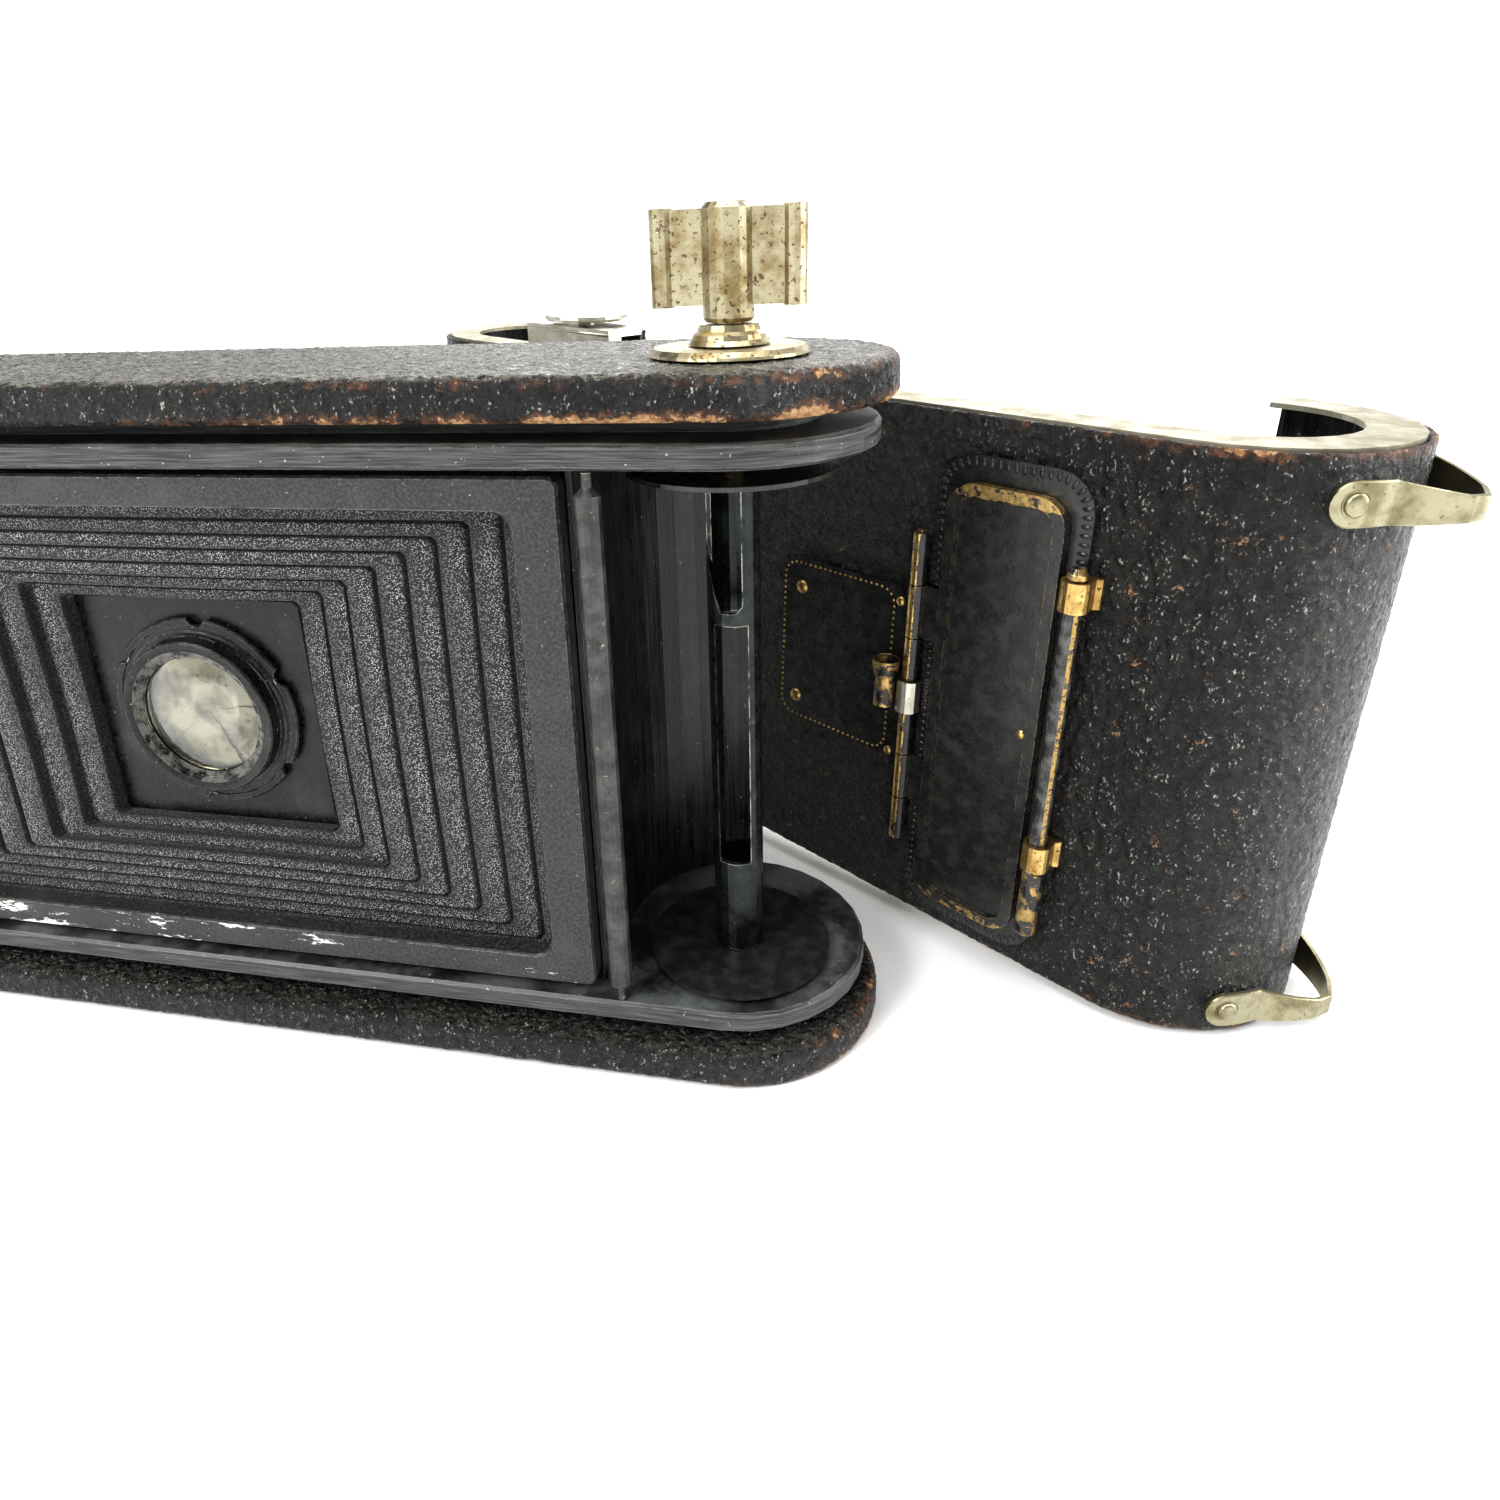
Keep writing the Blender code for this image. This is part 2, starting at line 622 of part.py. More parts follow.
def make_finder():
    """Reflecting finder on a bracket, turned upright for this way up."""
    off_x, off_z = FINDER
    x, z = off_x, LENS_Z + off_z
    arm = rounded(22.6, x + 4.5, LENS_Z + 17.0, z + 4.5, 2.0, 3)
    pin_hole = circle(x, z, 1.7, 12)
    plate("finder_bracket", [arm, pin_hole], BOARD_Y + 4.1, BOARD_Y + 5.3, nickel(), "XZ")
    low_y = BOARD_Y + 5.6
    body = box("finder_body", (x - 7, low_y, z - 7), (x + 7, low_y + 15, z + 5.6), nickel(), pivot=(x, low_y, z), edge=0.6)
    pin = rod("finder_pin", 1.3, low_y - 1.8, low_y + 1.0, (x, 0, z), nickel(), axis="Y", steps=12)
    unite(body, pin)
    turned(
        "finder_lens", [(0, z + 8.0), (3.6, z + 7.8), (6.3, z + 6.9), (6.3, z + 5.9), (0, z + 5.9)],
        (x, low_y + 7.5, 0), glass(), steps=20,
    )


# ---- loose back ----------------------------------------------------------------------------


def back_band(outer_inset, inner_inset, right_tail, left_tail, steps=14):
    """The C-ended plan outline of a band of the back, between two insets from its face."""
    radius = BACK_R
    def side(inset, reverse):
        points = [(-right_tail, 2 * radius - inset)]
        points += arc(0, radius, radius - inset, 90, -90, steps)
        points += arc(BACK_LEFT, radius, radius - inset, 270, 90, steps)
        points += [(BACK_LEFT + left_tail, 2 * radius - inset)]
        return points[::-1] if reverse else points

    return side(outer_inset, False) + side(inner_inset, True)


def make_back_shell(frame):
    outer = back_band(0, SKIN, 2.0, 20.0)
    cover = plate("back_cover", [outer], 0.4, BACK_H - 0.4, leather(), parent=frame)
    inner = back_band(SKIN + GAP, SKIN + GAP + 0.9, 2.0, 20.0)
    liner = plate("back_liner", [inner], 1.4, BACK_H - 1.4, black_paint(), parent=frame)
    window = (DOOR[0] + 5, DOOR[1] - 5, DOOR[2] + 7, DOOR[3] - 7)
    for index, piece in enumerate((cover, liner)):
        tool = box(
            "writing_slot_%d" % index, (window[0], -1, window[2]), (window[1], 4, window[3]),
            black_paint(), parent=frame,
        )
        cut(piece, tool)
    lip = back_band(SKIN + GAP, SKIN + GAP + LIP_WIDTH, 2.0, 20.0)
    plate("back_lip_lower", [lip], 0.2, 1.1, nickel(), parent=frame)
    plate("back_lip_upper", [lip], BACK_H - 1.1, BACK_H - 0.2, nickel(), parent=frame)


def make_door(frame):
    """Writing door on its five-knuckle hinge, with the plate that it closes against."""
    left, right, low, high = DOOR
    face = -GAP
    surround = rounded(left - 3.4, right + 3.6, low - 4, high + 4.5, 7.0, 4)
    inside = rounded(left + 4.5, right - 4.5, low + 6.5, high - 6.5, 3.0, 3)
    plate("door_surround", [surround, inside], face - 0.7, face, black_paint(), "XZ", frame)
    lid_low = face - 0.7 - GAP
    pin = (DOOR_PIN_U, lid_low - 1.0, 0)
    outline = rounded(left, right, low, high, 5.0, 4)
    lid = plate("writing_door", [outline], lid_low - 1.9, lid_low, black_paint(), "XZ", frame, pivot=pin)
    recess = rounded(left + 2, right - 2, low + 2, high - 2, 3.4, 4)
    cut(lid, plate("door_recess", [recess], lid_low - 3, lid_low - 1.1, black_paint(), "XZ", frame))
    joints = (18.1, 27.6, 37.5, 62.5, 73.1, 83.1)
    leaf_outline = rounded(-75.0, DOOR_PIN_U - 1.9, 34.5, 71.0, 4.0, 4)
    leaf = plate("hinge_leaf", [leaf_outline], face - 0.8, face, black_paint(), "XZ", frame)
    for index, (start, end) in enumerate(zip(joints, joints[1:])):
        moving = index in (1, 3)
        gap_low = 0.0 if index == 0 else GAP / 2
        gap_high = 0.0 if index == 4 else GAP / 2
        span = (start + gap_low, end - gap_high)
        bore = 0.75
        ring = [(1.45, span[1]), (1.45, span[0]), (bore, span[0]), (bore, span[1])]
        knuckle = turned(
            "knuckle_%d" % index, ring, (pin[0], pin[1], 0), black_paint(), parent=frame, steps=14, ring=True
        )
        if moving:
            web_u = (DOOR_PIN_U + 0.95, left + 1.0)
            web_w = (lid_low - 0.9, lid_low - 0.1)
        else:
            web_u = (DOOR_PIN_U - 3.0, DOOR_PIN_U + 0.4)
            web_w = (face - 0.8, face - 0.1)
        web = box(
            "knuckle_web_%d" % index, (web_u[0], web_w[0], span[0]), (web_u[1], web_w[1], span[1]),
            black_paint(), parent=frame,
        )
        unite(lid if moving else leaf, web, knuckle)
    strip = box(
        "leaf_strip", (DOOR_PIN_U - 3.0, face - 0.8, joints[0]), (DOOR_PIN_U - 1.9, face - 0.05, joints[-1]),
        black_paint(), parent=frame,
    )
    unite(leaf, strip)
    rod("hinge_pin", 0.5, joints[0] - 0.4, joints[-1] + 0.4, (pin[0], pin[1], 0), brass(), parent=frame, steps=10)
    return pin


def make_latch_and_stylus(frame, pin):
    """Steel spring clip on the hinge barrel, and the stylus held by two brass rings."""
    clip = arc(pin[0], pin[1], 2.3, 160, 380, 10) + arc(pin[0], pin[1], 1.75, 380, 160, 10)
    plate("spring_clip", [clip], 47.0, 53.6, nickel(), parent=frame)
    u, w = STYLUS_AT
    for name, height in zip(("stylus_ring_upper", "stylus_ring_lower"), STYLUS_RINGS):
        foot = [(u + 0.4, -GAP), (u + 3.0, -GAP), (u + 3.0, -0.9), (u + 2.2, -1.6)]
        loop = arc(u, w, 2.5, 22, -250, 16) + [(u + 0.4, -1.35)]
        hole = circle(u, w, 1.8, 16)
        plate(name, [foot + loop, hole], height - 2.6, height + 2.6, brass(), parent=frame)
    stylus = [(0, 84.0), (1.0, 84.0), (1.5, 83.0), (1.5, 26.0), (1.9, 25.6), (1.9, 12.6), (1.3, 11.8), (0, 11.8)]
    turned("stylus", stylus, (u, w, 0), nickel(), parent=frame, steps=14)


def make_strap_loops(frame):
    """Nickel loops for the lost handle, one near each edge of the rounded end."""
    thick = 0.9
    names = ("strap_loop_upper", "strap_loop_lower")
    for name, height, reach in zip(names, LOOP_HEIGHTS, LOOP_REACHES):
        radius = BACK_R + GAP
        crest = radius + reach
        centre = (0, BACK_R)
        def polar(angle, distance):
            turn = math.radians(angle - 90)
            return (centre[0] + distance * math.cos(turn), centre[1] + distance * math.sin(turn))
        inner = [polar(angle, radius) for angle in (LOOP_RIVET, 59, 66)]
        inner += [polar(84, crest - 1.8), polar(90, crest - 1.1), polar(96, crest - 1.8)]
        inner += [polar(114, radius), polar(122, radius)]
        outer = [polar(angle, radius + thick) for angle in (LOOP_RIVET, 59, 66)]
        outer += [polar(83, crest - 0.9), polar(90, crest), polar(97, crest - 0.9)]
        outer += [polar(114, radius + thick + 0.2), polar(122, radius + thick)]
        low, high = height - LOOP_HALF, height + LOOP_HALF
        loop = plate(name, [inner + outer[::-1]], low, high, nickel(), parent=frame)
        spot = polar(LOOP_RIVET, radius)
        profile = [(0, 1.8), (1.6, 1.7), (2.1, 1.1), (LOOP_HALF + 0.15, 1.0), (LOOP_HALF + 0.15, 0.1), (0, 0.1)]
        end = turned(name + "_end", profile, (0, 0, 0), nickel(), parent=frame, steps=18)
        end.location = (spot[0] * MM, spot[1] * MM, height * MM)
        end.rotation_euler = (math.pi / 2, 0, math.radians(LOOP_RIVET))
        unite(loop, end)


def make_back_catch(frame):
    """Catch bar down the outer face. Its heads hook over both covers, and the lower one is a foot."""
    left, right = CATCH_U
    face = -GAP
    middle = (left + right) / 2
    low, high = -6.0, BACK_H + 7.0
    bar = box(
        "catch_bar", (middle - 6, face - 2.6, low + 6), (middle + 6, face, high - 6), nickel(), parent=frame
    )
    heads = ((low, 7.0), (high - 14.0, high))
    for index, (start, end) in enumerate(heads):
        front = box(
            "catch_head_%d" % index, (left, face - 3.8, start), (right, face - 0.05, end), nickel(), parent=frame
        )
        unite(bar, front)
    spot = (middle - 1.2, 3.3, 0)
    shelf = box(
        "catch_shelf", (left + 3, face - 1.5, high - 2.0), (right - 3, 8.5, high - 0.2), nickel(), parent=frame
    )
    hole = rod("catch_hole", 2.5, high - 4, high + 1, spot, nickel(), parent=frame)
    unite(bar, shelf)
    cut(bar, hole)
    top = high + 1.0
    button = [(0, top + 1.8), (7.6, top + 1.8), (9.8, top + 1.3), (10.0, top + 0.6), (9.4, top)]
    button += [(2.1, top), (2.1, high - 5.2), (0, high - 5.2)]
    turned("catch_button", button, spot, nickel(), parent=frame, steps=28)


def make_back():
    frame = bpy.data.objects.new("back_frame", None)
    parts.objects.link(frame)
    turn = Matrix.Rotation(math.radians(BACK_YAW), 4, "Z") @ Matrix.Rotation(BACK_TILT, 4, "Y")
    frame.matrix_world = Matrix.Translation(Vector(BACK_AT) * MM) @ turn
    make_back_shell(frame)
    pin = make_door(frame)
    make_latch_and_stylus(frame, pin)
    make_strap_loops(frame)
    make_back_catch(frame)


def main():
    global parts, helpers
    clear_scene()
    parts = new_collection("folding_camera")
    helpers = new_collection("helpers")
    make_covers()
    make_boards()
    make_gate()
    make_casing()
    make_front_panel()
    make_chambers()
    make_rollers()
    make_take_up_spool()
    make_spool_centres()
    make_winding_key()
    make_pull_knob()
    make_release_button()
    make_slide_track()
    make_bed()
    make_struts()
    make_foot()
    make_bellows()
    make_standard()
    make_lens()
    make_controls()
    make_finder()
    make_back()


main()
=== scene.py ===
"""Folding roll-film camera with its back taken off: finishes and fine detail over the CAD frame."""

import math

import bmesh
import bpy
import numpy as np
from mathutils import Matrix, Vector, noise


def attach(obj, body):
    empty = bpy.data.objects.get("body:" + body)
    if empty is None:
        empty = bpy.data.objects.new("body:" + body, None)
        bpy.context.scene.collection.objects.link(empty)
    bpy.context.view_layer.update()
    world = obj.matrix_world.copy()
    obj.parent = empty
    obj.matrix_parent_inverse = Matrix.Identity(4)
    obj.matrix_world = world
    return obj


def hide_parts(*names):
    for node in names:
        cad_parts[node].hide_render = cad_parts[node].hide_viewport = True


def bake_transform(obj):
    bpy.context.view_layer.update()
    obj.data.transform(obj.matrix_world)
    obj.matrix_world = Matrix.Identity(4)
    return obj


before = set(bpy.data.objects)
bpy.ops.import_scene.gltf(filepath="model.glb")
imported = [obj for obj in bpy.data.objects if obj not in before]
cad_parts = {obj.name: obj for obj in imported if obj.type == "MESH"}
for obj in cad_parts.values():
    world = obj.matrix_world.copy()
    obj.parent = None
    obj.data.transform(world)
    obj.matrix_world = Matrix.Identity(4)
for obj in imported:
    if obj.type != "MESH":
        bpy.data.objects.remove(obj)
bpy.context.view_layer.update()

MM = 0.001

# ---- body sizes, in millimetres, as in the CAD --------------------------------------------

HEIGHT = 120.8
MID_Z = 60.4
END_R = 26.0
HALF_STRAIGHT = 100.0
COVER_T = 6.8
LENS = (1.5, 58.1)
BACK_H = 105.7
BACK_R = 25.7
BACK_LEFT = -194.8
BACK_SKIN = 1.2
DOOR = (-36.4, -14.7, 8.0, 94.0)
BARREL_U = -41.6
STYLUS = (-11.2, -3.9)
LOOP_RIVET = 52.0  # degrees round the back's end
STRAPS = {"upper": (98.0, 7.8), "lower": (6.0, 7.0)}  # middle height, reach of the loop
LATCH = (-46.0, -3.9)
GATE_MEMBER = (0.0398, 0.0406)  # metres from mid-height, where the gate's long members start
BACK = (
    Matrix.Translation((0.1637, 0.00493, 0.001))
    @ Matrix.Rotation(math.radians(-34.76), 4, "Z")
    @ Matrix.Rotation(0.04, 4, "Y")
)

# ---- node building ------------------------------------------------------------------------


class Look:
    """A Principled material whose inputs are built from small procedural parts."""

    def __init__(self, name, roughness=0.5, metallic=0.0, **fixed):
        self.material = bpy.data.materials.new(name)
        self.material.use_nodes = True
        self.tree = self.material.node_tree
        self.shader = self.tree.nodes["Principled BSDF"]
        self.set(Roughness=roughness, Metallic=metallic)
        for key, value in fixed.items():
            self.shader.inputs[key.replace("_", " ")].default_value = value
        self.where = self.node("TexCoord").outputs["Object"]

    def feed(self, socket, value):
        if isinstance(value, bpy.types.NodeSocket):
            self.tree.links.new(value, socket)
        else:
            socket.default_value = value

    def node(self, kind, settings=(), **values):
        made = self.tree.nodes.new("ShaderNode" + kind)
        for key, value in dict(settings).items():
            setattr(made, key, value)
        for key, value in values.items():
            self.feed(made.inputs[key.replace("_", " ")], value)
        return made

    def set(self, **values):
        for key, value in values.items():
            self.feed(self.shader.inputs[key.replace("_", " ")], value)

    def placed(self, stretch=(1, 1, 1), shift=(0, 0, 0)):
        made = self.node("Mapping", Vector=self.where)
        made.inputs["Scale"].default_value = stretch
        made.inputs["Location"].default_value = shift
        return made.outputs["Vector"]

    def noise(self, size, detail=4.0, rough=0.55, stretch=(1, 1, 1), shift=(0, 0, 0)):
        """Cloudy noise whose features are about size millimetres."""
        made = self.node(
            "TexNoise", Vector=self.placed(stretch, shift), Scale=1000 / size,
            Detail=detail, Roughness=rough,
        )
        return made.outputs["Fac"]

    def cells(self, size, feature="F1", stretch=(1, 1, 1)):
        made = self.node(
            "TexVoronoi", {"feature": feature},
            Vector=self.placed(stretch), Scale=1000 / size,
        )
        return made.outputs["Distance"]

    def math(self, operation, first, second=0.0):
        made = self.node("Math", {"operation": operation})
        self.feed(made.inputs[0], first)
        self.feed(made.inputs[1], second)
        return made.outputs[0]

    def times(self, first, second):
        return self.math("MULTIPLY", first, second)

    def plus(self, first, second):
        return self.math("ADD", first, second)

    def span(self, value, low, high, to_low=0.0, to_high=1.0):
        """Smooth step of a value between two limits."""
        made = self.node("MapRange", {"interpolation_type": "SMOOTHSTEP"}, Value=value)
        made.inputs["From Min"].default_value = low
        made.inputs["From Max"].default_value = high
        made.inputs["To Min"].default_value = to_low
        made.inputs["To Max"].default_value = to_high
        return made.outputs["Result"]

    def mix(self, factor, first, second):
        made = self.node("Mix", {"data_type": "RGBA"})
        self.feed(made.inputs[0], factor)
        self.feed(made.inputs[6], (*first, 1.0) if isinstance(first, tuple) else first)
        self.feed(made.inputs[7], (*second, 1.0) if isinstance(second, tuple) else second)
        return made.outputs[2]

    def axis(self, index):
        made = self.node("SeparateXYZ", Vector=self.where)
        return made.outputs[index]

    def along_back(self, index):
        """A coordinate in the back's own frame. Every piece is drawn in the body's frame."""
        direction = BACK.to_3x3().col[index]
        dot = self.node("VectorMath", {"operation": "DOT_PRODUCT"})
        self.tree.links.new(self.where, dot.inputs[0])
        dot.inputs[1].default_value = direction
        return self.math("SUBTRACT", dot.outputs["Value"], direction.dot(BACK.translation))

    def attribute(self, name):
        return self.node("Attribute", {"attribute_name": name}).outputs["Fac"]

    def edges(self, radius):
        """1 along the sharp edges of a piece, 0 on its flats."""
        soft = self.node("Bevel", {"samples": 4}, Radius=radius * MM)
        plain = self.node("NewGeometry")
        dot = self.node("VectorMath", {"operation": "DOT_PRODUCT"})
        self.tree.links.new(soft.outputs["Normal"], dot.inputs[0])
        self.tree.links.new(plain.outputs["Normal"], dot.inputs[1])
        return self.span(self.math("SUBTRACT", 1.0, dot.outputs["Value"]), 0.03, 0.22)

    def bump(self, height, depth):
        """Relief of depth millimetres where the height goes from 0 to 1."""
        made = self.node("Bump", Height=height, Distance=depth * MM)
        self.tree.links.new(made.outputs["Normal"], self.shader.inputs["Normal"])


def leather_look(name, size=1.7, scuffs=0.62, dust=0.0, glint_strength=None):
    """Old pebbled black leather: crumpled domes, scuffs, tan hide where the edges have worn, painted glints on the
    raised grain, and, where asked, grey dust with a painted sheen on faces that look up.
    """
    look = Look(name, Specular_IOR_Level=0.45)
    warp = look.noise(4.0, 3)
    domes = look.math("SUBTRACT", 1.0, look.cells(size, "F1", stretch=(1, 1, 0.8)))
    folds = look.cells(size * 1.9, "DISTANCE_TO_EDGE", stretch=(1, 1, 0.7))
    pores = look.noise(0.45, 5, 0.7)
    relief = look.plus(look.times(domes, 0.8), look.span(folds, 0.0, 0.22, 0.0, 0.5))
    relief = look.plus(relief, look.times(pores, 0.75))
    base = look.mix(look.span(warp, 0.35, 0.65), (0.002, 0.002, 0.002), (0.009, 0.008, 0.0065))
    # painted glints: pale specks on the tops of the grain stand in for highlights
    painted_glints = look.span(look.noise(0.42, 3, 0.6, stretch=(1, 1, 0.6), shift=(2, 7, 4)), 0.58, 0.68)
    painted_glints = look.times(painted_glints, look.span(relief, 0.92, 1.2))
    painted_glints = look.times(painted_glints, glint_strength(look) if glint_strength else 0.9)
    base = look.mix(painted_glints, base, (0.50, 0.49, 0.45))
    # tan scuffs away from the edges
    scuff = look.math(
        "MULTIPLY", look.span(look.noise(3.6, 6, 0.78), scuffs + 0.03, scuffs + 0.07), look.span(pores, 0.40, 0.52)
    )
    base = look.mix(look.times(scuff, 0.85), base, (0.42, 0.225, 0.11))
    if dust:
        # dust and painted sheen: faces that look up go pale grey, partly dry dust and partly a painted sheen of the
        # light that grazes them
        up = look.node("SeparateXYZ", Vector=look.node("NewGeometry").outputs["Normal"])
        facing = look.span(up.outputs[2], 0.55, 0.97, 0.0, dust)
        dust_and_sheen = look.times(facing, look.span(look.noise(0.8, 5, 0.7, stretch=(0.5, 1, 1)), 0.40, 0.66))
        base = look.mix(dust_and_sheen, base, look.mix(look.span(warp, 0.4, 0.6), (0.30, 0.28, 0.22), (0.44, 0.425, 0.35)))
    # worn edges
    wear = look.attribute("wear")
    ragged = look.times(look.math("SUBTRACT", look.noise(2.6, 7, 0.72), 0.5), 1.5)
    ragged = look.plus(wear, ragged)
    hide = look.mix(look.span(look.noise(0.8, 4), 0.35, 0.65), (0.33, 0.155, 0.055), (0.58, 0.37, 0.19))
    brown = look.mix(look.span(look.noise(1.2, 4), 0.3, 0.7), (0.018, 0.010, 0.006), (0.13, 0.055, 0.022))
    base = look.mix(look.span(ragged, 0.32, 0.48), base, brown)
    base = look.mix(look.span(ragged, 0.58, 0.66), base, hide)
    rough = look.span(pores, 0.3, 0.7, 0.14, 0.40)
    look.set(Base_Color=base, Roughness=look.plus(rough, look.span(ragged, 0.45, 0.7, 0.0, 0.4)))
    look.bump(relief, 0.8)
    return look.material


def black_paint_look(name, edge, streak, tint, chips=None, gloss=0.36, shine=0.5):
    """Brushed black lacquer, worn pale along its edges and chipped to white in places."""
    look = Look(name, Specular_IOR_Level=shine)
    strokes = look.noise(0.55, 4, 0.65, stretch=streak)
    clouds = look.noise(9.0, 4)
    base = look.mix(look.span(strokes, 0.36, 0.72), tuple(v * 0.3 for v in tint), tuple(v * 3.0 for v in tint))
    base = look.mix(look.span(clouds, 0.45, 0.8, 0.0, 0.4), base, (0.062, 0.066, 0.062))
    rim = look.times(look.edges(edge), look.span(look.noise(2.2, 5, 0.7), 0.40, 0.56))
    base = look.mix(rim, base, (0.36, 0.35, 0.31))
    speck = look.span(look.noise(0.7, 2, 0.5, shift=(3, 1, 2)), 0.725, 0.75)
    base = look.mix(look.times(speck, 0.8), base, (0.45, 0.44, 0.40))
    if chips:
        flake = look.plus(look.noise(4.5, 7, 0.78, stretch=(0.30, 1, 1.3)), chips(look))
        base = look.mix(look.span(flake, 0.715, 0.735), base, (0.86, 0.85, 0.80))
    look.set(Base_Color=base, Roughness=look.span(strokes, 0.3, 0.75, gloss, gloss + 0.22))
    look.bump(look.plus(strokes, look.times(look.noise(0.25, 2), 0.4)), 0.05)
    return look.material


def metal_look(name, colour, dull, stain, rough=0.26, spots=0.64):
    """Plated metal with a tarnish film, rust freckles, and fine scratches."""
    look = Look(name, metallic=1.0)
    clouds = look.noise(4.5, 5, 0.6)
    base = look.mix(look.span(clouds, 0.38, 0.68), colour, dull)
    freckle = look.times(look.span(look.noise(0.75, 3, 0.6), spots, spots + 0.06), 0.8)
    base = look.mix(freckle, base, stain)
    scratch = look.noise(0.3, 3, 0.6, stretch=(0.12, 1, 1))
    rough_map = look.plus(look.span(clouds, 0.3, 0.75, rough, rough + 0.22), look.times(freckle, 0.3))
    look.set(Base_Color=base, Roughness=rough_map, Metallic=look.span(freckle, 0.3, 0.8, 1.0, 0.35))
    look.bump(look.math("SUBTRACT", scratch, look.times(freckle, 0.8)), 0.03)
    return look.material


def enamel_look(name, wear=0.0, bands=None, size=2.0, pale=(0.028, 0.027, 0.025)):
    """Black enamel over brass. It has rubbed through to the metal along edges and in worn bands."""
    look = Look(name, Specular_IOR_Level=0.55)
    broken = look.noise(size, 6, 0.72)
    rubbed = look.plus(look.times(look.edges(0.35), 0.36), look.times(broken, 0.75))
    rubbed = look.plus(rubbed, wear)
    if bands:
        rubbed = look.plus(rubbed, bands(look))
    bare = look.span(rubbed, 0.72, 0.76)
    gold = look.mix(look.span(look.noise(0.8, 4), 0.35, 0.7), (0.60, 0.43, 0.18), (0.33, 0.21, 0.075))
    black = look.mix(look.span(look.noise(3.0, 4), 0.4, 0.7), (0.012, 0.012, 0.012), pale)
    look.set(
        Base_Color=look.mix(bare, black, gold),
        Metallic=bare,
        Roughness=look.plus(look.span(broken, 0.3, 0.7, 0.2, 0.36), look.times(bare, 0.06)),
    )
    look.bump(look.math("SUBTRACT", look.times(look.noise(0.5, 3), 0.5), bare), 0.05)
    return look.material


def cloth_look():
    """Black bellows cloth: an uneven fine weave with painted light and shade, grey on the lit bands of the pleats and
    black in the folds, where shade falls.
    """
    look = Look("bellows_weave", roughness=0.75, Sheen_Weight=0.25, Sheen_Roughness=0.45)
    knots = look.cells(0.34, "F1", stretch=(1, 0.6, 1.25))
    thread = look.noise(0.5, 2, 0.6)
    weave = look.plus(look.span(knots, 0.55, 0.15, 0.0, 0.75), look.times(thread, 0.5))
    # on the bellows the wear attribute holds painted light and shade, not wear
    shade = look.attribute("wear")
    dust = look.noise(7.0, 4)
    grey = look.mix(look.span(dust, 0.35, 0.7), (0.34, 0.36, 0.34), (0.60, 0.625, 0.585))
    # painted light and shade: the stored shade makes the weave grey on the lit bands and black in the creases
    lit = look.times(look.span(weave, 0.45, 0.95), shade)
    look.set(Base_Color=look.mix(lit, (0.006, 0.007, 0.0065), grey))
    look.bump(weave, 0.16)
    return look.material


def steel_look(name, base, pit, rough):
    """Blackened steel with pits and a few bare brown freckles."""
    look = Look(name, metallic=0.75)
    clouds = look.noise(3.5, 5, 0.65)
    colour = look.mix(look.span(clouds, 0.35, 0.7), base, tuple(v * 2.3 for v in base))
    pits = look.span(look.cells(1.3, "F1"), 0.10, 0.2)
    freckle = look.span(look.noise(1.1, 4, 0.7), 0.64, 0.68)
    colour = look.mix(look.times(freckle, pit), colour, (0.38, 0.27, 0.17))
    rim = look.times(look.edges(0.3), look.span(look.noise(3.0, 4), 0.38, 0.55))
    colour = look.mix(rim, colour, (0.55, 0.53, 0.45))
    look.set(Base_Color=colour, Roughness=look.span(clouds, 0.3, 0.7, rough, rough + 0.2))
    look.bump(look.plus(look.times(pits, pit), look.times(clouds, 0.5)), 0.07)
    return look.material


def glass_look():
    """Uncoated lens glass with a faint warm haze."""
    look = Look("lens_glass", roughness=0.03, IOR=1.52, Transmission_Weight=1.0, Coat_Weight=0.5)
    haze = look.noise(3.0, 5, 0.7)
    look.set(
        Base_Color=look.mix(look.span(haze, 0.4, 0.75), (0.96, 0.96, 0.92), (0.86, 0.84, 0.74)),
        Roughness=look.span(haze, 0.45, 0.8, 0.02, 0.16),
    )
    return look.material


def gate_chips(look):
    """More chipping on the long members of the gate, mostly on the side away from the key."""
    height = look.math("ABSOLUTE", look.math("SUBTRACT", look.axis(2), MID_Z * MM))
    members = look.span(height, *GATE_MEMBER)
    side = look.span(look.axis(0), -0.055, 0.06, 0.13, 0.02)
    low = look.span(look.axis(2), 0.04, 0.08, 0.075, 0.0)
    return look.math("SUBTRACT", look.times(members, look.plus(side, low)), 0.01)


def near(look, index, middle, half, amount):
    """A band of extra wear about a coordinate of the back, in millimetres."""
    off = look.math("ABSOLUTE", look.math("SUBTRACT", look.along_back(index), middle * MM))
    return look.span(off, half * 0.8 * MM, half * 1.25 * MM, amount, 0.0)


def barrel_band(look, amount=0.40):
    return near(look, 0, BARREL_U - 0.5, 1.2, amount)


def plate_bands(look):
    return barrel_band(look, 0.56)


def stylus_line(look):
    """A rubbed line down one side of the stylus tube."""
    return near(look, 0, STYLUS[0] + 1.15, 0.28, 0.45)


def door_bands(look):
    """Brass shows at the top and bottom of the writing door's raised rim, and on its knuckles."""
    height = look.along_back(2)
    top = look.span(height, (DOOR[3] - 3.6) * MM, (DOOR[3] - 2.0) * MM, 0.0, 0.40)
    low = look.span(height, (DOOR[2] + 3.0) * MM, (DOOR[2] + 1.2) * MM, 0.0, 0.34)
    return look.plus(look.plus(top, low), barrel_band(look))


def glints_along_back(look):
    """Strength of the painted glints along the back: strong round its rounded end, where the light catches the hide,
    and faint on the flat near its middle.
    """
    return look.span(look.along_back(0), -70 * MM, 14 * MM, 0.06, 0.95)


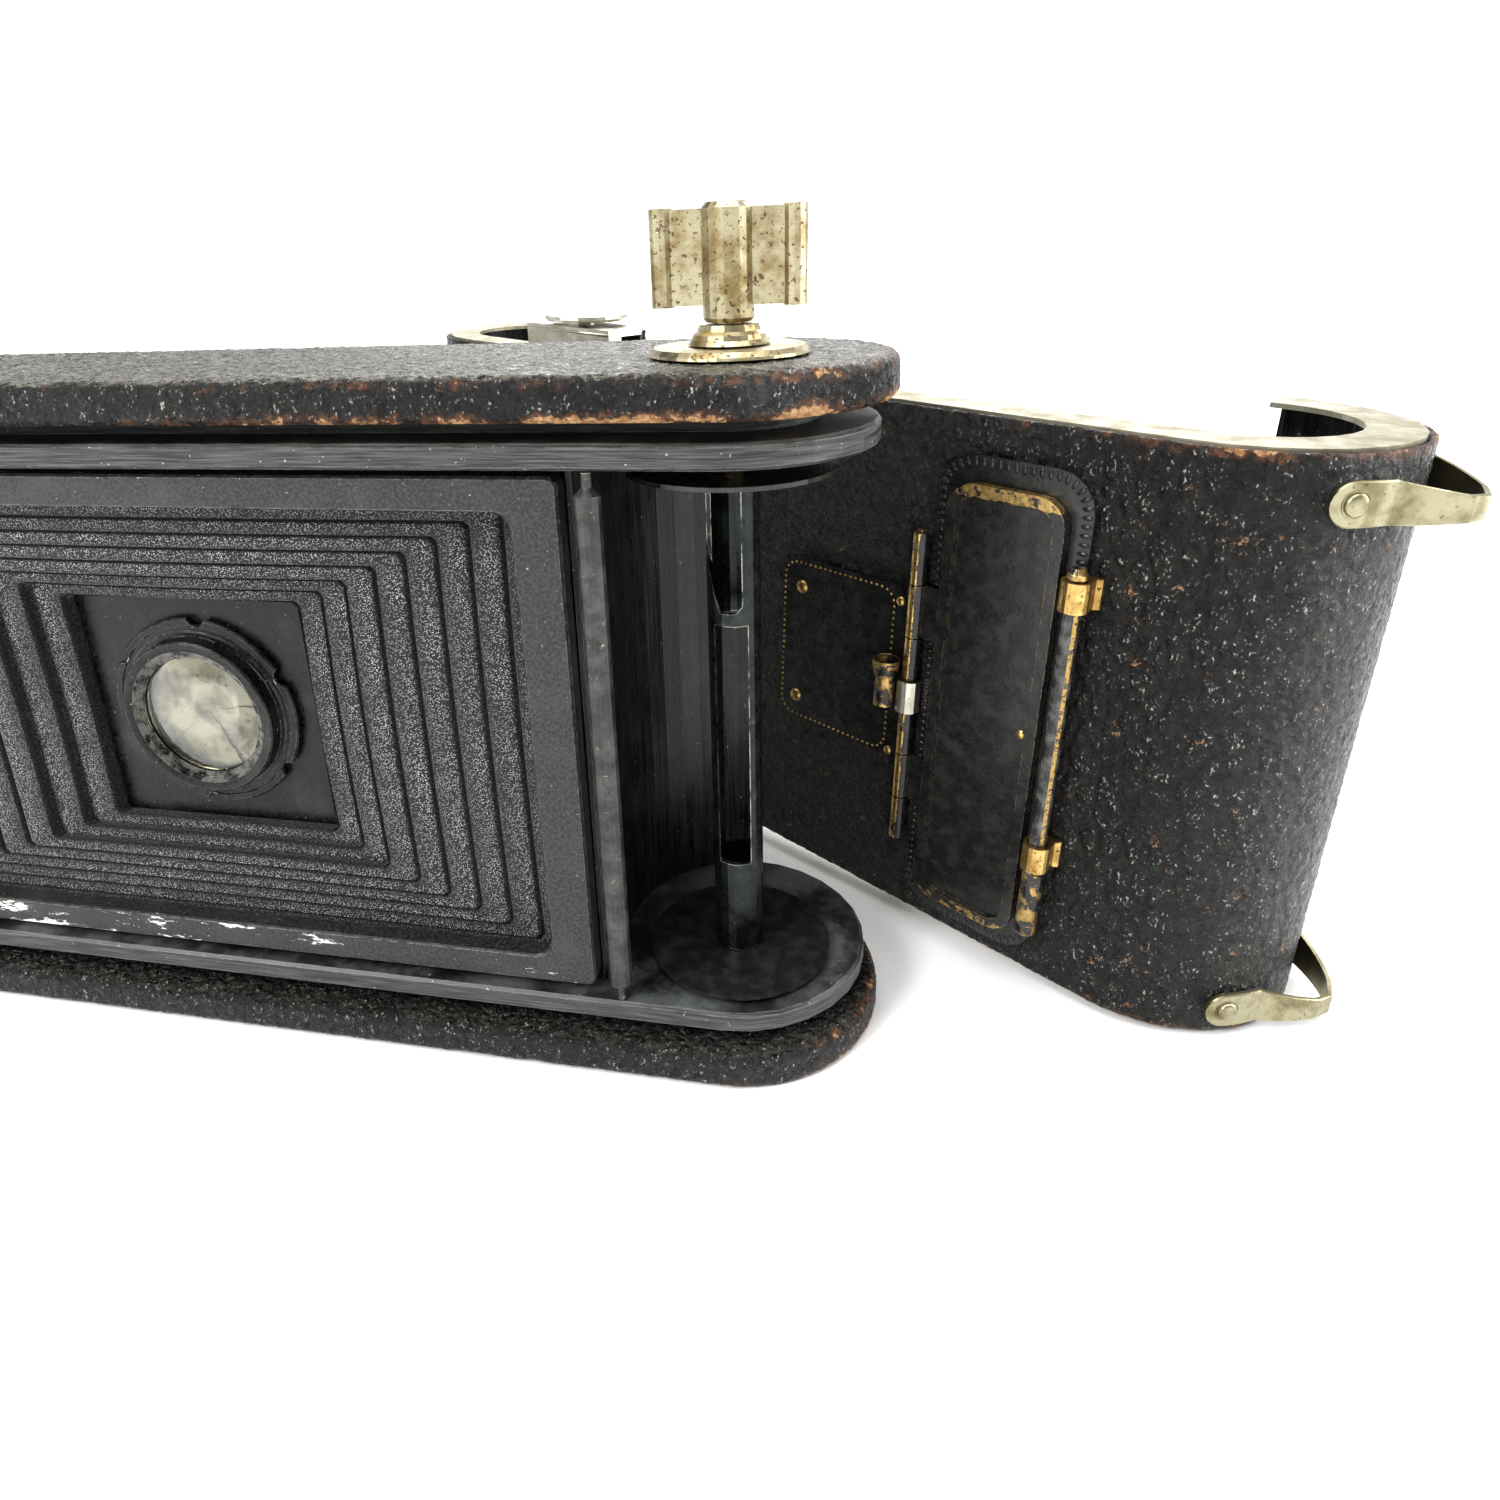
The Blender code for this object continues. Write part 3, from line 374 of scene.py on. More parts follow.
LOOKS = {
    # the dust amount sets the pale grey on faces that look up, dust with a painted sheen, less on the bottom cover; the
    # back's leather gets painted glints that fade along it
    "leather": leather_look("worn_leather", 1.5, 0.62, dust=0.6),
    "leather_low": leather_look("worn_leather_low", 1.3, 0.66, dust=0.12),
    "leather_back": leather_look("worn_leather_back", 1.9, 0.60, glint_strength=glints_along_back),
    "rail": black_paint_look("rail_paint", 0.35, (0.05, 0.05, 1.6), (0.034, 0.037, 0.035)),
    "gate": black_paint_look("gate_paint", 0.3, (1, 1, 1), (0.0155, 0.0172, 0.016), chips=gate_chips, gloss=0.3),
    "inside": black_paint_look("inside_paint", 0.15, (1, 1, 0.03), (0.007, 0.008, 0.008), gloss=0.22, shine=0.45),
    "shutter": black_paint_look("shutter_paint", 0.3, (1, 1, 1), (0.006, 0.006, 0.006), gloss=0.25, shine=0.35),
    "nickel": metal_look("old_nickel", (0.36, 0.335, 0.225), (0.20, 0.175, 0.10), (0.07, 0.035, 0.014), rough=0.3),
    "key": metal_look("key_nickel", (0.50, 0.455, 0.31), (0.26, 0.20, 0.095), (0.07, 0.025, 0.008), spots=0.58),
    "bright": metal_look("bright_nickel", (0.56, 0.54, 0.47), (0.42, 0.39, 0.30), (0.14, 0.08, 0.04), spots=0.66),
    "lip": metal_look(
        "lip_metal", (0.37, 0.355, 0.285), (0.28, 0.255, 0.185), (0.18, 0.12, 0.07), rough=0.5, spots=0.68
    ),
    "brass": metal_look("old_brass", (0.62, 0.44, 0.17), (0.34, 0.21, 0.07), (0.04, 0.02, 0.01), spots=0.58),
    "door": enamel_look("door_enamel", bands=door_bands),
    "plate": enamel_look("plate_enamel", wear=-0.16, bands=plate_bands),
    "flange": enamel_look("flange_enamel", wear=-0.12, size=5.0),
    "barrel": enamel_look("barrel_enamel", wear=0.36, size=3.2),
    "blade": metal_look("blade_steel", (0.33, 0.32, 0.25), (0.14, 0.13, 0.09), (0.05, 0.04, 0.02), rough=0.3),
    "roller": steel_look("roller_steel", (0.046, 0.048, 0.046), 0.9, 0.34),
    "spool": steel_look("spool_steel", (0.017, 0.020, 0.019), 0.3, 0.2),
    "stylus": enamel_look("stylus_tube", wear=-0.06, bands=stylus_line, size=0.8, pale=(0.12, 0.12, 0.112)),
    "cloth": cloth_look(),
    "glass": glass_look(),
}

# ---- geometry helpers ---------------------------------------------------------------------


def shifted(x, y, z):
    return Matrix.Translation((x * MM, y * MM, z * MM))


def mesh_object(name, verts, faces, look, matrix=None, smooth=True, weld=None):
    mesh = bpy.data.meshes.new(name)
    mesh.from_pydata([tuple(v) for v in verts], [], faces)
    work = bmesh.new()
    work.from_mesh(mesh)
    if weld:
        bmesh.ops.remove_doubles(work, verts=work.verts, dist=weld)
    bmesh.ops.recalc_face_normals(work, faces=work.faces)
    work.to_mesh(mesh)
    work.free()
    obj = bpy.data.objects.new(name, mesh)
    bpy.context.scene.collection.objects.link(obj)
    if matrix is not None:
        obj.matrix_world = matrix
    mesh.materials.append(LOOKS[look])
    if smooth:
        mesh.shade_smooth()
    return obj


def skin(rings, closed_rings=True, closed_profile=False, caps=False):
    """Vertices and faces of a surface through rings that hold the same number of points."""
    count = len(rings[0])
    verts = [point for ring in rings for point in ring]
    faces = []
    pairs = list(zip(range(len(rings)), range(1, len(rings))))
    if closed_profile:
        pairs.append((len(rings) - 1, 0))
    for first, second in pairs:
        for index in range(count if closed_rings else count - 1):
            after = (index + 1) % count
            faces.append((first * count + index, first * count + after, second * count + after, second * count + index))
    if caps:
        if closed_rings:
            faces.append(tuple(range(count)))
            faces.append(tuple((len(rings) - 1) * count + index for index in range(count)))
        else:
            faces.append(tuple(ring * count for ring in range(len(rings))))
            faces.append(tuple(ring * count + count - 1 for ring in range(len(rings))))
    return verts, faces


def lathe(name, profile, look, steps=48, matrix=None, closed=False, radius_at=None):
    """A turned piece about its own Z. radius_at, if given, changes the radius with the angle."""
    rings = []
    for radius, height in profile:
        ring = []
        for step in range(steps):
            angle = 2 * math.pi * step / steps
            reach = radius_at(radius, height, angle) if radius_at else radius
            ring.append((reach * math.cos(angle) * MM, reach * math.sin(angle) * MM, height * MM))
        rings.append(ring)
    verts, faces = skin(rings, closed_profile=closed, caps=not closed)
    obj = mesh_object(name, verts, faces, look, matrix, weld=1e-7)
    obj.data.set_sharp_from_angle(angle=math.radians(38))
    return obj


def merged(name, objects, matrix=None):
    """Several objects joined as one piece."""
    mesh = bpy.data.meshes.new(name)
    work = bmesh.new()
    looks = []
    for obj in objects:
        material = obj.data.materials[0]
        if material not in looks:
            looks.append(material)
        start = len(work.faces)
        copy = obj.data.copy()
        copy.transform(obj.matrix_world if matrix is None else matrix.inverted() @ obj.matrix_world)
        work.from_mesh(copy)
        work.faces.ensure_lookup_table()
        for face in work.faces[start:]:
            face.material_index = looks.index(material)
        bpy.data.meshes.remove(copy)
    work.to_mesh(mesh)
    work.free()
    for obj in objects:
        bpy.data.objects.remove(obj, do_unlink=True)
    made = bpy.data.objects.new(name, mesh)
    for material in looks:
        mesh.materials.append(material)
    if matrix is not None:
        made.matrix_world = matrix
    bpy.context.scene.collection.objects.link(made)
    bpy.context.view_layer.update()
    return made


def ball(size, look, steps=8, rows=4):
    """A small dome or bead as its own mesh, sized along x, y and z."""
    verts = []
    faces = []
    for row in range(rows + 1):
        lift = math.pi * row / rows
        for step in range(steps):
            turn = 2 * math.pi * step / steps
            x = size[0] * math.sin(lift) * math.cos(turn)
            y = size[1] * math.sin(lift) * math.sin(turn)
            verts.append((x * MM, y * MM, size[2] * math.cos(lift) * MM))
    for row in range(rows):
        for step in range(steps):
            after = (step + 1) % steps
            faces.append((row * steps + step, row * steps + after, (row + 1) * steps + after, (row + 1) * steps + step))
    return mesh_object("bead", verts, faces, look, weld=1e-8)


def finish_piece(obj, body, slot, *nodes):
    """Fixes a piece in the body's frame and hands it to the body that it rides on."""
    bpy.context.view_layer.update()
    obj.data.transform(obj.matrix_world)
    obj.matrix_world = Matrix.Identity(4)
    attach(obj, body)
    if nodes:
        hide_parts(*nodes)
    return obj


def set_wear_and_shade(obj, values):
    """Stores how worn each point is for the material to read; on the bellows it stores painted light and shade instead.
    """
    layer = obj.data.attributes.new("wear", "FLOAT", "POINT")
    layer.data.foreach_set("value", np.asarray(values, np.float32))


def points_of(obj):
    flat = np.empty(len(obj.data.vertices) * 3)
    obj.data.vertices.foreach_get("co", flat)
    return flat.reshape(-1, 3)


def pebble(point, size):
    """Height, 0 to 1, of crinkled leather at a point in millimetres."""
    near, _ = noise.voronoi(point / size)
    cell = min(1.0, (near[1] - near[0]) / 0.42)
    small, _ = noise.voronoi(point / (size * 0.55) + Vector((5, 3, 1)))
    tiny = min(1.0, (small[1] - small[0]) / 0.5)
    roll = 0.5 + 0.5 * noise.noise(point / (size * 3.1))
    return 0.5 * cell ** 0.7 + 0.22 * tiny + 0.28 * roll


def emboss(obj, depth, size, flat=None):
    """Presses leather grain into a dense mesh. The surface only ever moves inwards."""
    coords = points_of(obj)
    normals = np.empty(len(coords) * 3)
    obj.data.vertices.foreach_get("normal", normals)
    normals = normals.reshape(-1, 3)
    for index, (x, y, z) in enumerate(coords):
        if flat and flat(x / MM, y / MM, z / MM):
            continue
        height = pebble(Vector((x, y, z)) / MM, size)
        coords[index] -= normals[index] * depth * MM * (1 - height)
    obj.data.vertices.foreach_set("co", coords.ravel())
    obj.data.update()


def carve(obj, tool):
    """Cuts a tool out of a piece, applies the cut and removes the tool."""
    modifier = obj.modifiers.new("cut", "BOOLEAN")
    modifier.operation = "DIFFERENCE"
    modifier.object = tool
    bpy.context.view_layer.update()
    graph = bpy.context.evaluated_depsgraph_get()
    mesh = bpy.data.meshes.new_from_object(obj.evaluated_get(graph), preserve_all_data_layers=True, depsgraph=graph)
    obj.modifiers.clear()
    obj.data = mesh
    bpy.data.objects.remove(tool, do_unlink=True)


# ---- leather covers -----------------------------------------------------------------------

PITCH = 0.6


def stadium_ring(inset, height):
    """The body's rounded outline, inset and at a height."""
    radius = END_R - inset
    along = int(2 * HALF_STRAIGHT / PITCH)
    around = int(math.pi * END_R / PITCH)
    ring = []
    for side in (1, -1):
        for step in range(around):
            angle = math.radians(-90 * side) + math.pi * step / around
            x = side * HALF_STRAIGHT + radius * math.cos(angle)
            ring.append((x * MM, radius * math.sin(angle) * MM, height * MM))
        for step in range(along):
            x = side * HALF_STRAIGHT * (1 - 2 * step / along)
            ring.append((x * MM, side * radius * MM, height * MM))
    return ring


def make_cover(name, low, high, look, wear_of):
    lower, upper = 1.3, 2.2
    profile = [(inset, low) for inset in (26, 16, 8, 4)]
    for step in range(5):
        turn = math.radians(90 * step / 4)
        profile.append((lower * (1 - math.sin(turn)), low + lower * (1 - math.cos(turn))))
    rows = int((high - low - lower - upper) / PITCH)
    for step in range(1, rows + 1):
        profile.append((0, low + lower + (high - low - lower - upper) * step / rows))
    for step in range(1, 7):
        turn = math.radians(90 * step / 6)
        profile.append((upper * (1 - math.cos(turn)), high - upper * (1 - math.sin(turn))))
    rows = int((END_R - upper) / PITCH)
    for step in range(1, rows + 1):
        profile.append((upper + (END_R - upper) * step / rows, high))
    verts, faces = skin([stadium_ring(inset, height) for inset, height in profile])
    cover = mesh_object(name, verts, faces, look, weld=1e-6)
    emboss(cover, 0.42, 1.55, flat=lambda x, y, z: z < low + 0.01)
    coords = points_of(cover) / MM
    set_wear_and_shade(cover, [wear_of(x, y, z) for x, y, z in coords])
    return cover


def patch(x, y, z, size, seed):
    return 0.5 + 0.5 * noise.noise(Vector((x / size + seed, y / size, z / size)))


def top_wear(x, y, z):
    """Hide shows along the lower edge towards the key, and in places along the upper one."""
    lower_edge, upper_edge = 114.3, 119.7
    right = min(1.0, max(0.0, x / 40))
    lower = math.exp(-(((z - lower_edge) / 1.7) ** 2)) * (0.30 + 0.42 * right)
    rim = math.exp(-(edge_inset(x, y) / 2.0) ** 2)
    upper = math.exp(-(((z - upper_edge) / 1.3) ** 2)) * rim * (0.22 + 0.22 * right)
    tip = 0.20 * min(1.0, max(0.0, (x - 98) / 22))
    return (lower + upper + tip) * (0.15 + 1.25 * patch(x, y, z, 8, 3.1))


def bottom_wear(x, y, z):
    right = min(1.0, max(0.0, (x - 95) / 25))
    rim = math.exp(-(max(0.0, edge_inset(x, y)) / 2.2) ** 2)
    upper = math.exp(-(((z - 6.3) / 1.2) ** 2)) * rim * (0.14 + 0.50 * right)
    lower = math.exp(-(((z - 0.6) / 1.8) ** 2)) * (0.16 + 0.52 * right)
    return (upper + lower) * (0.35 + patch(x, y, z, 6, 8.7))


def edge_inset(x, y):
    """How far a point lies inside the stadium outline."""
    over = max(0.0, abs(x) - HALF_STRAIGHT)
    return END_R - math.hypot(over, y)


top_cover = make_cover("top_leather_cover", HEIGHT - COVER_T, HEIGHT, "leather", top_wear)
finish_piece(top_cover, "camera_body", "leather", "top_cover")
bottom_cover = make_cover("bottom_leather_cover", 0.0, COVER_T, "leather_low", bottom_wear)
finish_piece(bottom_cover, "camera_body", "leather", "bottom_cover")

# ---- the back's leather shell -------------------------------------------------------------


def back_path():
    """Points and outward normals along the outer face of the back, in plan."""
    found = []
    tail = int(2.0 / PITCH) + 1
    for step in range(tail):
        found.append(((-2.0 + 2.0 * step / tail, 2 * BACK_R), (0, 1)))
    around = int(math.pi * BACK_R / PITCH)
    for centre, start in ((0.0, 90), (BACK_LEFT, 270)):
        for step in range(around + 1):
            angle = math.radians(start - 180 * step / around)
            normal = (math.cos(angle), math.sin(angle))
            found.append(((centre + BACK_R * normal[0], BACK_R + BACK_R * normal[1]), normal))
        if centre == 0.0:
            count = int(-BACK_LEFT / PITCH)
            for step in range(1, count):
                found.append(((BACK_LEFT * step / count, 0.0), (0, -1)))
    tail = int(20.0 / (PITCH * 2))
    for step in range(1, tail + 1):
        found.append(((BACK_LEFT + 20.0 * step / tail, 2 * BACK_R), (0, 1)))
    return found


def make_back_leather():
    edge = 0.5
    low, high = 0.4, BACK_H - 0.4
    profile = [(low + edge, BACK_SKIN), (low, BACK_SKIN - edge), (low, edge), (low + 0.3 * edge, 0.3 * edge)]
    rows = int((high - low - 2 * edge) / PITCH)
    for step in range(rows + 1):
        profile.append((low + edge + (high - low - 2 * edge) * step / rows, 0.0))
    profile += [(high - 0.3 * edge, 0.3 * edge), (high, edge), (high, BACK_SKIN - edge), (high - edge, BACK_SKIN)]
    rings = []
    for height, inset in profile:
        ring = [((u - n[0] * inset) * MM, (w - n[1] * inset) * MM, height * MM) for (u, w), n in back_path()]
        rings.append(ring)
    verts, faces = skin(rings, closed_rings=False, closed_profile=True, caps=True)
    shell = mesh_object("back_leather", verts, faces, "leather_back", BACK)

    def hidden(u, w, h):
        inside = BACK_SKIN * 0.7
        if BACK_LEFT < u < 0:
            return inside < w < 2 * BACK_R - inside
        centre = 0 if u >= 0 else BACK_LEFT
        return math.hypot(u - centre, w - BACK_R) < BACK_R - inside

    emboss(shell, 0.40, 1.75, hidden)
    coords = points_of(shell) / MM

    def wear(u, w, h):
        right = min(1.0, max(0.0, (u + 75) / 70))
        top = math.exp(-(((h - high) / 2.2) ** 2)) * (0.06 + 0.36 * right)
        foot = math.exp(-(((h - low) / 1.8) ** 2)) * (0.30 + 0.12 * right)
        turn = 0.10 * min(1.0, max(0.0, (u + 10) / 20))
        return (top + foot + turn) * (0.2 + 1.3 * patch(u, w, h, 9, 5.5))

    set_wear_and_shade(shell, [wear(*point) for point in coords])
    slot = block("slot_tool", (DOOR[0] + 5, -1, DOOR[2] + 7), (DOOR[1] - 5, 4, DOOR[3] - 7), "leather_back")
    slot.matrix_world = BACK
    carve(shell, slot)
    return shell


def block(name, low, high, look):
    """A plain box between two corners in millimetres: a tool, a plate or a tick mark."""
    mesh = bpy.data.meshes.new(name)
    work = bmesh.new()
    size = [(b - a) * MM for a, b in zip(low, high)]
    bmesh.ops.create_cube(work, size=1.0, matrix=Matrix.Diagonal((*size, 1.0)))
    middle = Vector([(a + b) / 2 * MM for a, b in zip(low, high)])
    bmesh.ops.translate(work, verts=work.verts, vec=middle)
    work.to_mesh(mesh)
    work.free()
    mesh.materials.append(LOOKS[look])
    obj = bpy.data.objects.new(name, mesh)
    bpy.context.scene.collection.objects.link(obj)
    return obj


finish_piece(make_back_leather(), "back", "leather", "back_cover")

# ---- bellows ------------------------------------------------------------------------------


def pleat(folds):
    """Profile of the pleats from the gate in: (how far in, pleat, depth, shade) rows, from 0 to 1.

    Each pleat is a flat band that leans away a little, then a narrow deep crease before the next.
    """
    # each band row: place across the pleat, depth, painted shade; the band is painted lit and the crease is painted
    # black as shade
    band = ((0.0, 0.10, 0.3), (0.05, 0.0, 0.8), (0.15, 0.0, 1.0), (0.35, 0.03, 0.9), (0.55, 0.07, 0.65))
    band += ((0.72, 0.12, 0.42), (0.82, 0.17, 0.25), (0.86, 0.40, 0.02), (0.90, 0.75, 0.0), (0.95, 0.72, 0.0))
    band += ((0.985, 0.45, 0.05),)
    rows = []
    for fold in range(folds):
        for local, depth, shade in band:
            rows.append(((fold + local) / folds, fold, depth, shade))
    rows.append((1.0, folds, 0.0, 0.1))
    return rows


def make_bellows():
    """Eight pleats stepping in from the gate to the lens board, with mitred corners."""
    folds = 8
    rear, front = -17.1, -8.4
    start, end = (72.3, 42.3), (23.4, 22.8)
    side_points = 40
    deep = 1.8
    shallow, steep, turn = 0.42, 2.0, 5  # rise per pleat, before and after the turn

    def outline(t, depth):
        half_x = start[0] + (end[0] - start[0]) * t
        half_z = start[1] + (end[1] - start[1]) * t
        x = LENS[0] * t
        z = MID_Z + (LENS[1] - MID_Z) * t
        corner = 0.9
        points = []
        quarter = ((1, 1), (-1, 1), (-1, -1), (1, -1))
        for index, (a, b) in enumerate(quarter):
            c, d = quarter[(index + 1) % 4]
            flat_first = a * b < 0
            first = (x + a * (half_x - corner * (not flat_first)), z + b * (half_z - corner * flat_first))
            last = (x + c * (half_x - corner * (not flat_first)), z + d * (half_z - corner * flat_first))
            for step in range(side_points + 1):
                k = step / side_points
                bulge = 0.5 * math.sin(math.pi * k) * (1 if t < 0.99 else 0)
                px = first[0] + (last[0] - first[0]) * k
                pz = first[1] + (last[1] - first[1]) * k
                if flat_first:
                    px -= a * bulge
                else:
                    pz -= b * bulge * 0.5
                points.append((px * MM, depth * MM, pz * MM))
        return points

    rows = pleat(folds)
    depths = []
    for _, fold, depth, _ in rows:
        base = rear + shallow * min(fold, turn) + steep * max(0, fold - turn)
        depths.append(min(front - 0.36, base + deep * depth) if fold < folds else front - 0.36)
    seen = [outline(row[0], depth) for row, depth in zip(rows, depths)]
    hidden = [outline(row[0], depth + 0.35) for row, depth in zip(rows, depths)]
    verts, faces = skin(seen + hidden[::-1], closed_profile=True)
    cloth = mesh_object("bellows_folds", verts, faces, "cloth")
    cloth.data.set_sharp_from_angle(angle=math.radians(40))
    # the shade of each row goes into the wear attribute as painted light and shade
    shades = [row[3] for row in rows]
    values = []
    for shade in shades + shades[::-1]:
        values += [shade] * len(seen[0])
    set_wear_and_shade(cloth, values)
    return cloth


bellows = make_bellows()
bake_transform(bellows)
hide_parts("bellows")

# ---- lens and shutter detail --------------------------------------------------------------

LENS_AXIS = shifted(LENS[0], 0, LENS[1]) @ Matrix.Rotation(-math.pi / 2, 4, "X")


def make_rear_cell():
    """Threaded cell with a notched flange. Its front end is at height -1.2."""
    def notched(radius, height, angle):
        if radius > 18 and height < -8.3:
            turn = (angle + 0.5) % (math.pi / 3)
            return radius - (1.3 if turn < 0.16 else 0.0)
        return radius

    profile = [(15.9, -1.2), (15.9, -8.4), (18.5, -8.4), (18.8, -8.7), (18.8, -9.3), (18.5, -9.6), (17.4, -9.6)]
    profile += [(17.2, -9.4), (16.4, -9.4), (16.2, -9.6), (15.4, -9.6), (15.2, -9.9), (15.2, -12.1), (14.9, -12.4)]
    profile += [(14.0, -12.4), (13.7, -12.2)]
    for step in range(7):
        profile += [(13.5 - 0.26 * step, -12.1 + 0.2 * step), (13.2 - 0.26 * step, -12.1 + 0.2 * step)]
    profile += [(11.7, -10.6), (11.7, -1.2)]
    return lathe("rear_cell_detail", profile, "shutter", 96, LENS_AXIS, closed=True, radius_at=notched)


finish_piece(make_rear_cell(), "front_standard", "dark_steel", "rear_cell")


def make_blades():
    """Five thin shutter leaves that overlap behind the glass."""
    leaves = []
    blades, reach = 5, 11.3
    for index in range(blades):
        turn = 2 * math.pi * index / blades
        outline = [(0.0, 0.0)]
        for step in range(15):
            angle = turn + math.radians(96) * step / 14
            outline.append((reach * math.cos(angle), reach * math.sin(angle)))
        verts = []
        for lift in (0.0, 0.22):
            for order, (x, y) in enumerate(outline):
                slope = 0.5 * order / len(outline)
                verts.append((x * MM, y * MM, (-6.6 + slope + lift) * MM))
        count = len(outline)
        faces = [tuple(range(count)), tuple(range(count, 2 * count))]
        faces += [(k, (k + 1) % count, (k + 1) % count + count, k + count) for k in range(count)]
        leaf = mesh_object("leaf", verts, faces, "blade", LENS_AXIS, smooth=False)
        leaves.append(leaf)
    return merged("shutter_blades", leaves)


finish_piece(make_blades(), "front_standard", "nickel")


def make_front_detail():
    """Air cylinders, scale ticks, screws and a knurled ring on the shutter's face."""
    made = []
    cylinder_off, cylinder_y, screw_off = 20.2, 13.6, 22.6
    for side in (-1, 1):
        profile = [(0.01, -7.5), (2.0, -7.5), (2.3, -7.1), (2.3, -5.4), (2.0, -5.2), (2.0, 5.2), (2.3, 5.4)]
        profile += [(2.3, 7.1), (2.0, 7.5), (0.9, 7.5), (0.9, 8.3), (0.01, 8.3)]
        at = shifted(LENS[0] + side * cylinder_off, cylinder_y, LENS[1])
        made.append(lathe("cylinder", profile, "bright", 28, at))
    for index in range(26):
        turn = math.radians(40 + 100 * (index % 13) / 12 + (180 if index > 12 else 0))
        long = index % 3 == 0
        tick = block("tick", (17.2, -0.09, 12.0), (19.0 + 0.8 * long, 0.09, 12.14), "bright")
        tick.matrix_world = LENS_AXIS @ Matrix.Rotation(turn, 4, "Z")
        made.append(tick)
    for turn in (35, 145, 215, 325):
        angle = math.radians(turn)
        head = [(0.01, 12.0), (1.1, 12.0), (1.1, 12.3), (0.8, 12.6), (0.01, 12.65)]
        shift = shifted(screw_off * math.cos(angle), screw_off * math.sin(angle), 0)
        made.append(lathe("screw", head, "bright", 16, LENS_AXIS @ shift))

    def ribbed(radius, _height, angle):
        groove = radius > 14.8 and int(angle * 60 / math.pi) % 2
        return radius - (0.22 if groove else 0)

    ring = [(13.2, 12.3), (15.0, 12.3), (15.2, 12.6), (15.2, 14.6), (15.0, 14.9), (14.2, 15.1), (13.2, 15.1)]
    made.append(lathe("knurl", ring, "bright", 240, LENS_AXIS, closed=True, radius_at=ribbed))
    return merged("shutter_face_detail", made)


finish_piece(make_front_detail(), "front_standard", "nickel")

# ---- beading, rivets and screws -----------------------------------------------------------


def rounded(left, right, low, high, radius, pitch):
    """Points a fixed distance apart round a rectangle with rounded corners, with their normals."""
    path = []
    corners = ((right, high, 0), (left, high, 90), (left, low, 180), (right, low, 270))
    for index, (x, y, start) in enumerate(corners):
        cx = x - radius if x == right else x + radius
        cy = y - radius if y == high else y + radius
        for step in range(13):
            angle = math.radians(start + 90 * step / 12)
            path.append(Vector((cx + radius * math.cos(angle), cy + radius * math.sin(angle))))
    path.append(path[0].copy())
    lengths = [(b - a).length for a, b in zip(path, path[1:])]
    count = int(sum(lengths) / pitch)
    found = []
    for index in range(count):
        target = sum(lengths) * index / count
        for (a, b), length in zip(zip(path, path[1:]), lengths):
            if target <= length:
                direction = (b - a).normalized()
                found.append((a + (b - a) * (target / length), Vector((direction.y, -direction.x))))
                break
            target -= length
    return found


def make_beading(name, outline, size, look, face):
    """A row of tiny raised beads along an outline on the back's face."""
    beads = []
    for point, normal in outline:
        bead = ball(size, look)
        turn = math.atan2(normal.y, normal.x)
        spot = shifted(point.x, face, point.y) @ Matrix.Rotation(-turn, 4, "Y")
        bead.matrix_world = BACK @ spot
        beads.append(bead)
    bpy.context.view_layer.update()
    return merged(name, beads, BACK)


leaf_edge = rounded(left=-74.2, right=-47.0, low=35.3, high=70.2, radius=3.4, pitch=1.25)
finish_piece(make_beading("leaf_beading", leaf_edge, (0.30, 0.24, 0.30), "brass", -1.12), "back", "brass")
surround_edge = rounded(DOOR[0] - 2.3, DOOR[1] + 2.5, DOOR[2] - 2.9, DOOR[3] + 3.4, 6.0, 1.5)
finish_piece(
    make_beading("surround_beading", surround_edge, (1.0, 0.30, 0.42), "plate", -1.02), "back", "black_enamel"
)


def dome(u, h, radius, rise, look, face):
    """A domed rivet head that stands off the back's face."""
    profile = [(radius, 0.0), (radius, 0.12 * rise)]
    for step in range(1, 6):
        turn = math.radians(18 * step)
        profile.append((max(0.01, radius * 0.96 * math.cos(turn)), rise * (0.12 + 0.88 * math.sin(turn))))
    spot = shifted(u, face, h) @ Matrix.Rotation(math.pi / 2, 4, "X")
    return lathe("rivet", profile, look, 20, BACK @ spot)


rivets = [dome(u, h, 1.45, 0.8, "brass", -1.1) for u, h in ((-69.7, 65.0), (-70.3, 39.8))]
rivets += [dome(u, h, 1.0, 0.6, "brass", -1.1) for u, h in ((-45.6, 68.2), (-45.9, 35.8))]
bpy.context.view_layer.update()
finish_piece(merged("leaf_rivets", rivets, BACK), "back", "brass")
pins = [dome(-17.9, 50.6, 1.0, 0.7, "brass", -2.05)]
finish_piece(merged("door_pin", pins, BACK), "writing_door", "brass")


def make_latch_ring():
    """The spring clip's tail, curled into a short tube with a flared mouth."""
    tube = [(2.0, 47.4), (2.0, 53.0), (2.2, 54.0), (2.6, 55.6), (2.7, 56.8), (2.5, 57.0), (2.2, 55.8), (1.7, 53.8)]
    tube += [(1.6, 53.0), (1.6, 47.4)]
    return lathe("latch_ring", tube, "barrel", 36, BACK @ shifted(*LATCH, 0), closed=True)


finish_piece(make_latch_ring(), "back", "brass")


def make_stylus_cap():
    """Brass-tipped cap and collar on the stylus tube."""
    at = BACK @ shifted(*STYLUS, 0)
    cap = [(0.01, 11.8), (1.2, 11.8), (1.95, 12.4), (1.95, 14.2), (1.8, 14.4), (1.95, 14.6), (1.95, 25.2)]
    cap += [(1.6, 25.8), (1.55, 26.4), (0.01, 26.4)]
    low = lathe("cap", cap, "barrel", 28, at)
    collar = [(1.5, 82.0), (1.72, 82.2), (1.72, 83.0), (1.5, 83.2), (1.2, 84.0), (0.01, 84.0), (0.01, 82.0)]
    high = lathe("collar", collar, "barrel", 24, at)
    return merged("stylus_cap", [low, high], BACK)


finish_piece(make_stylus_cap(), "stylus", "brass")


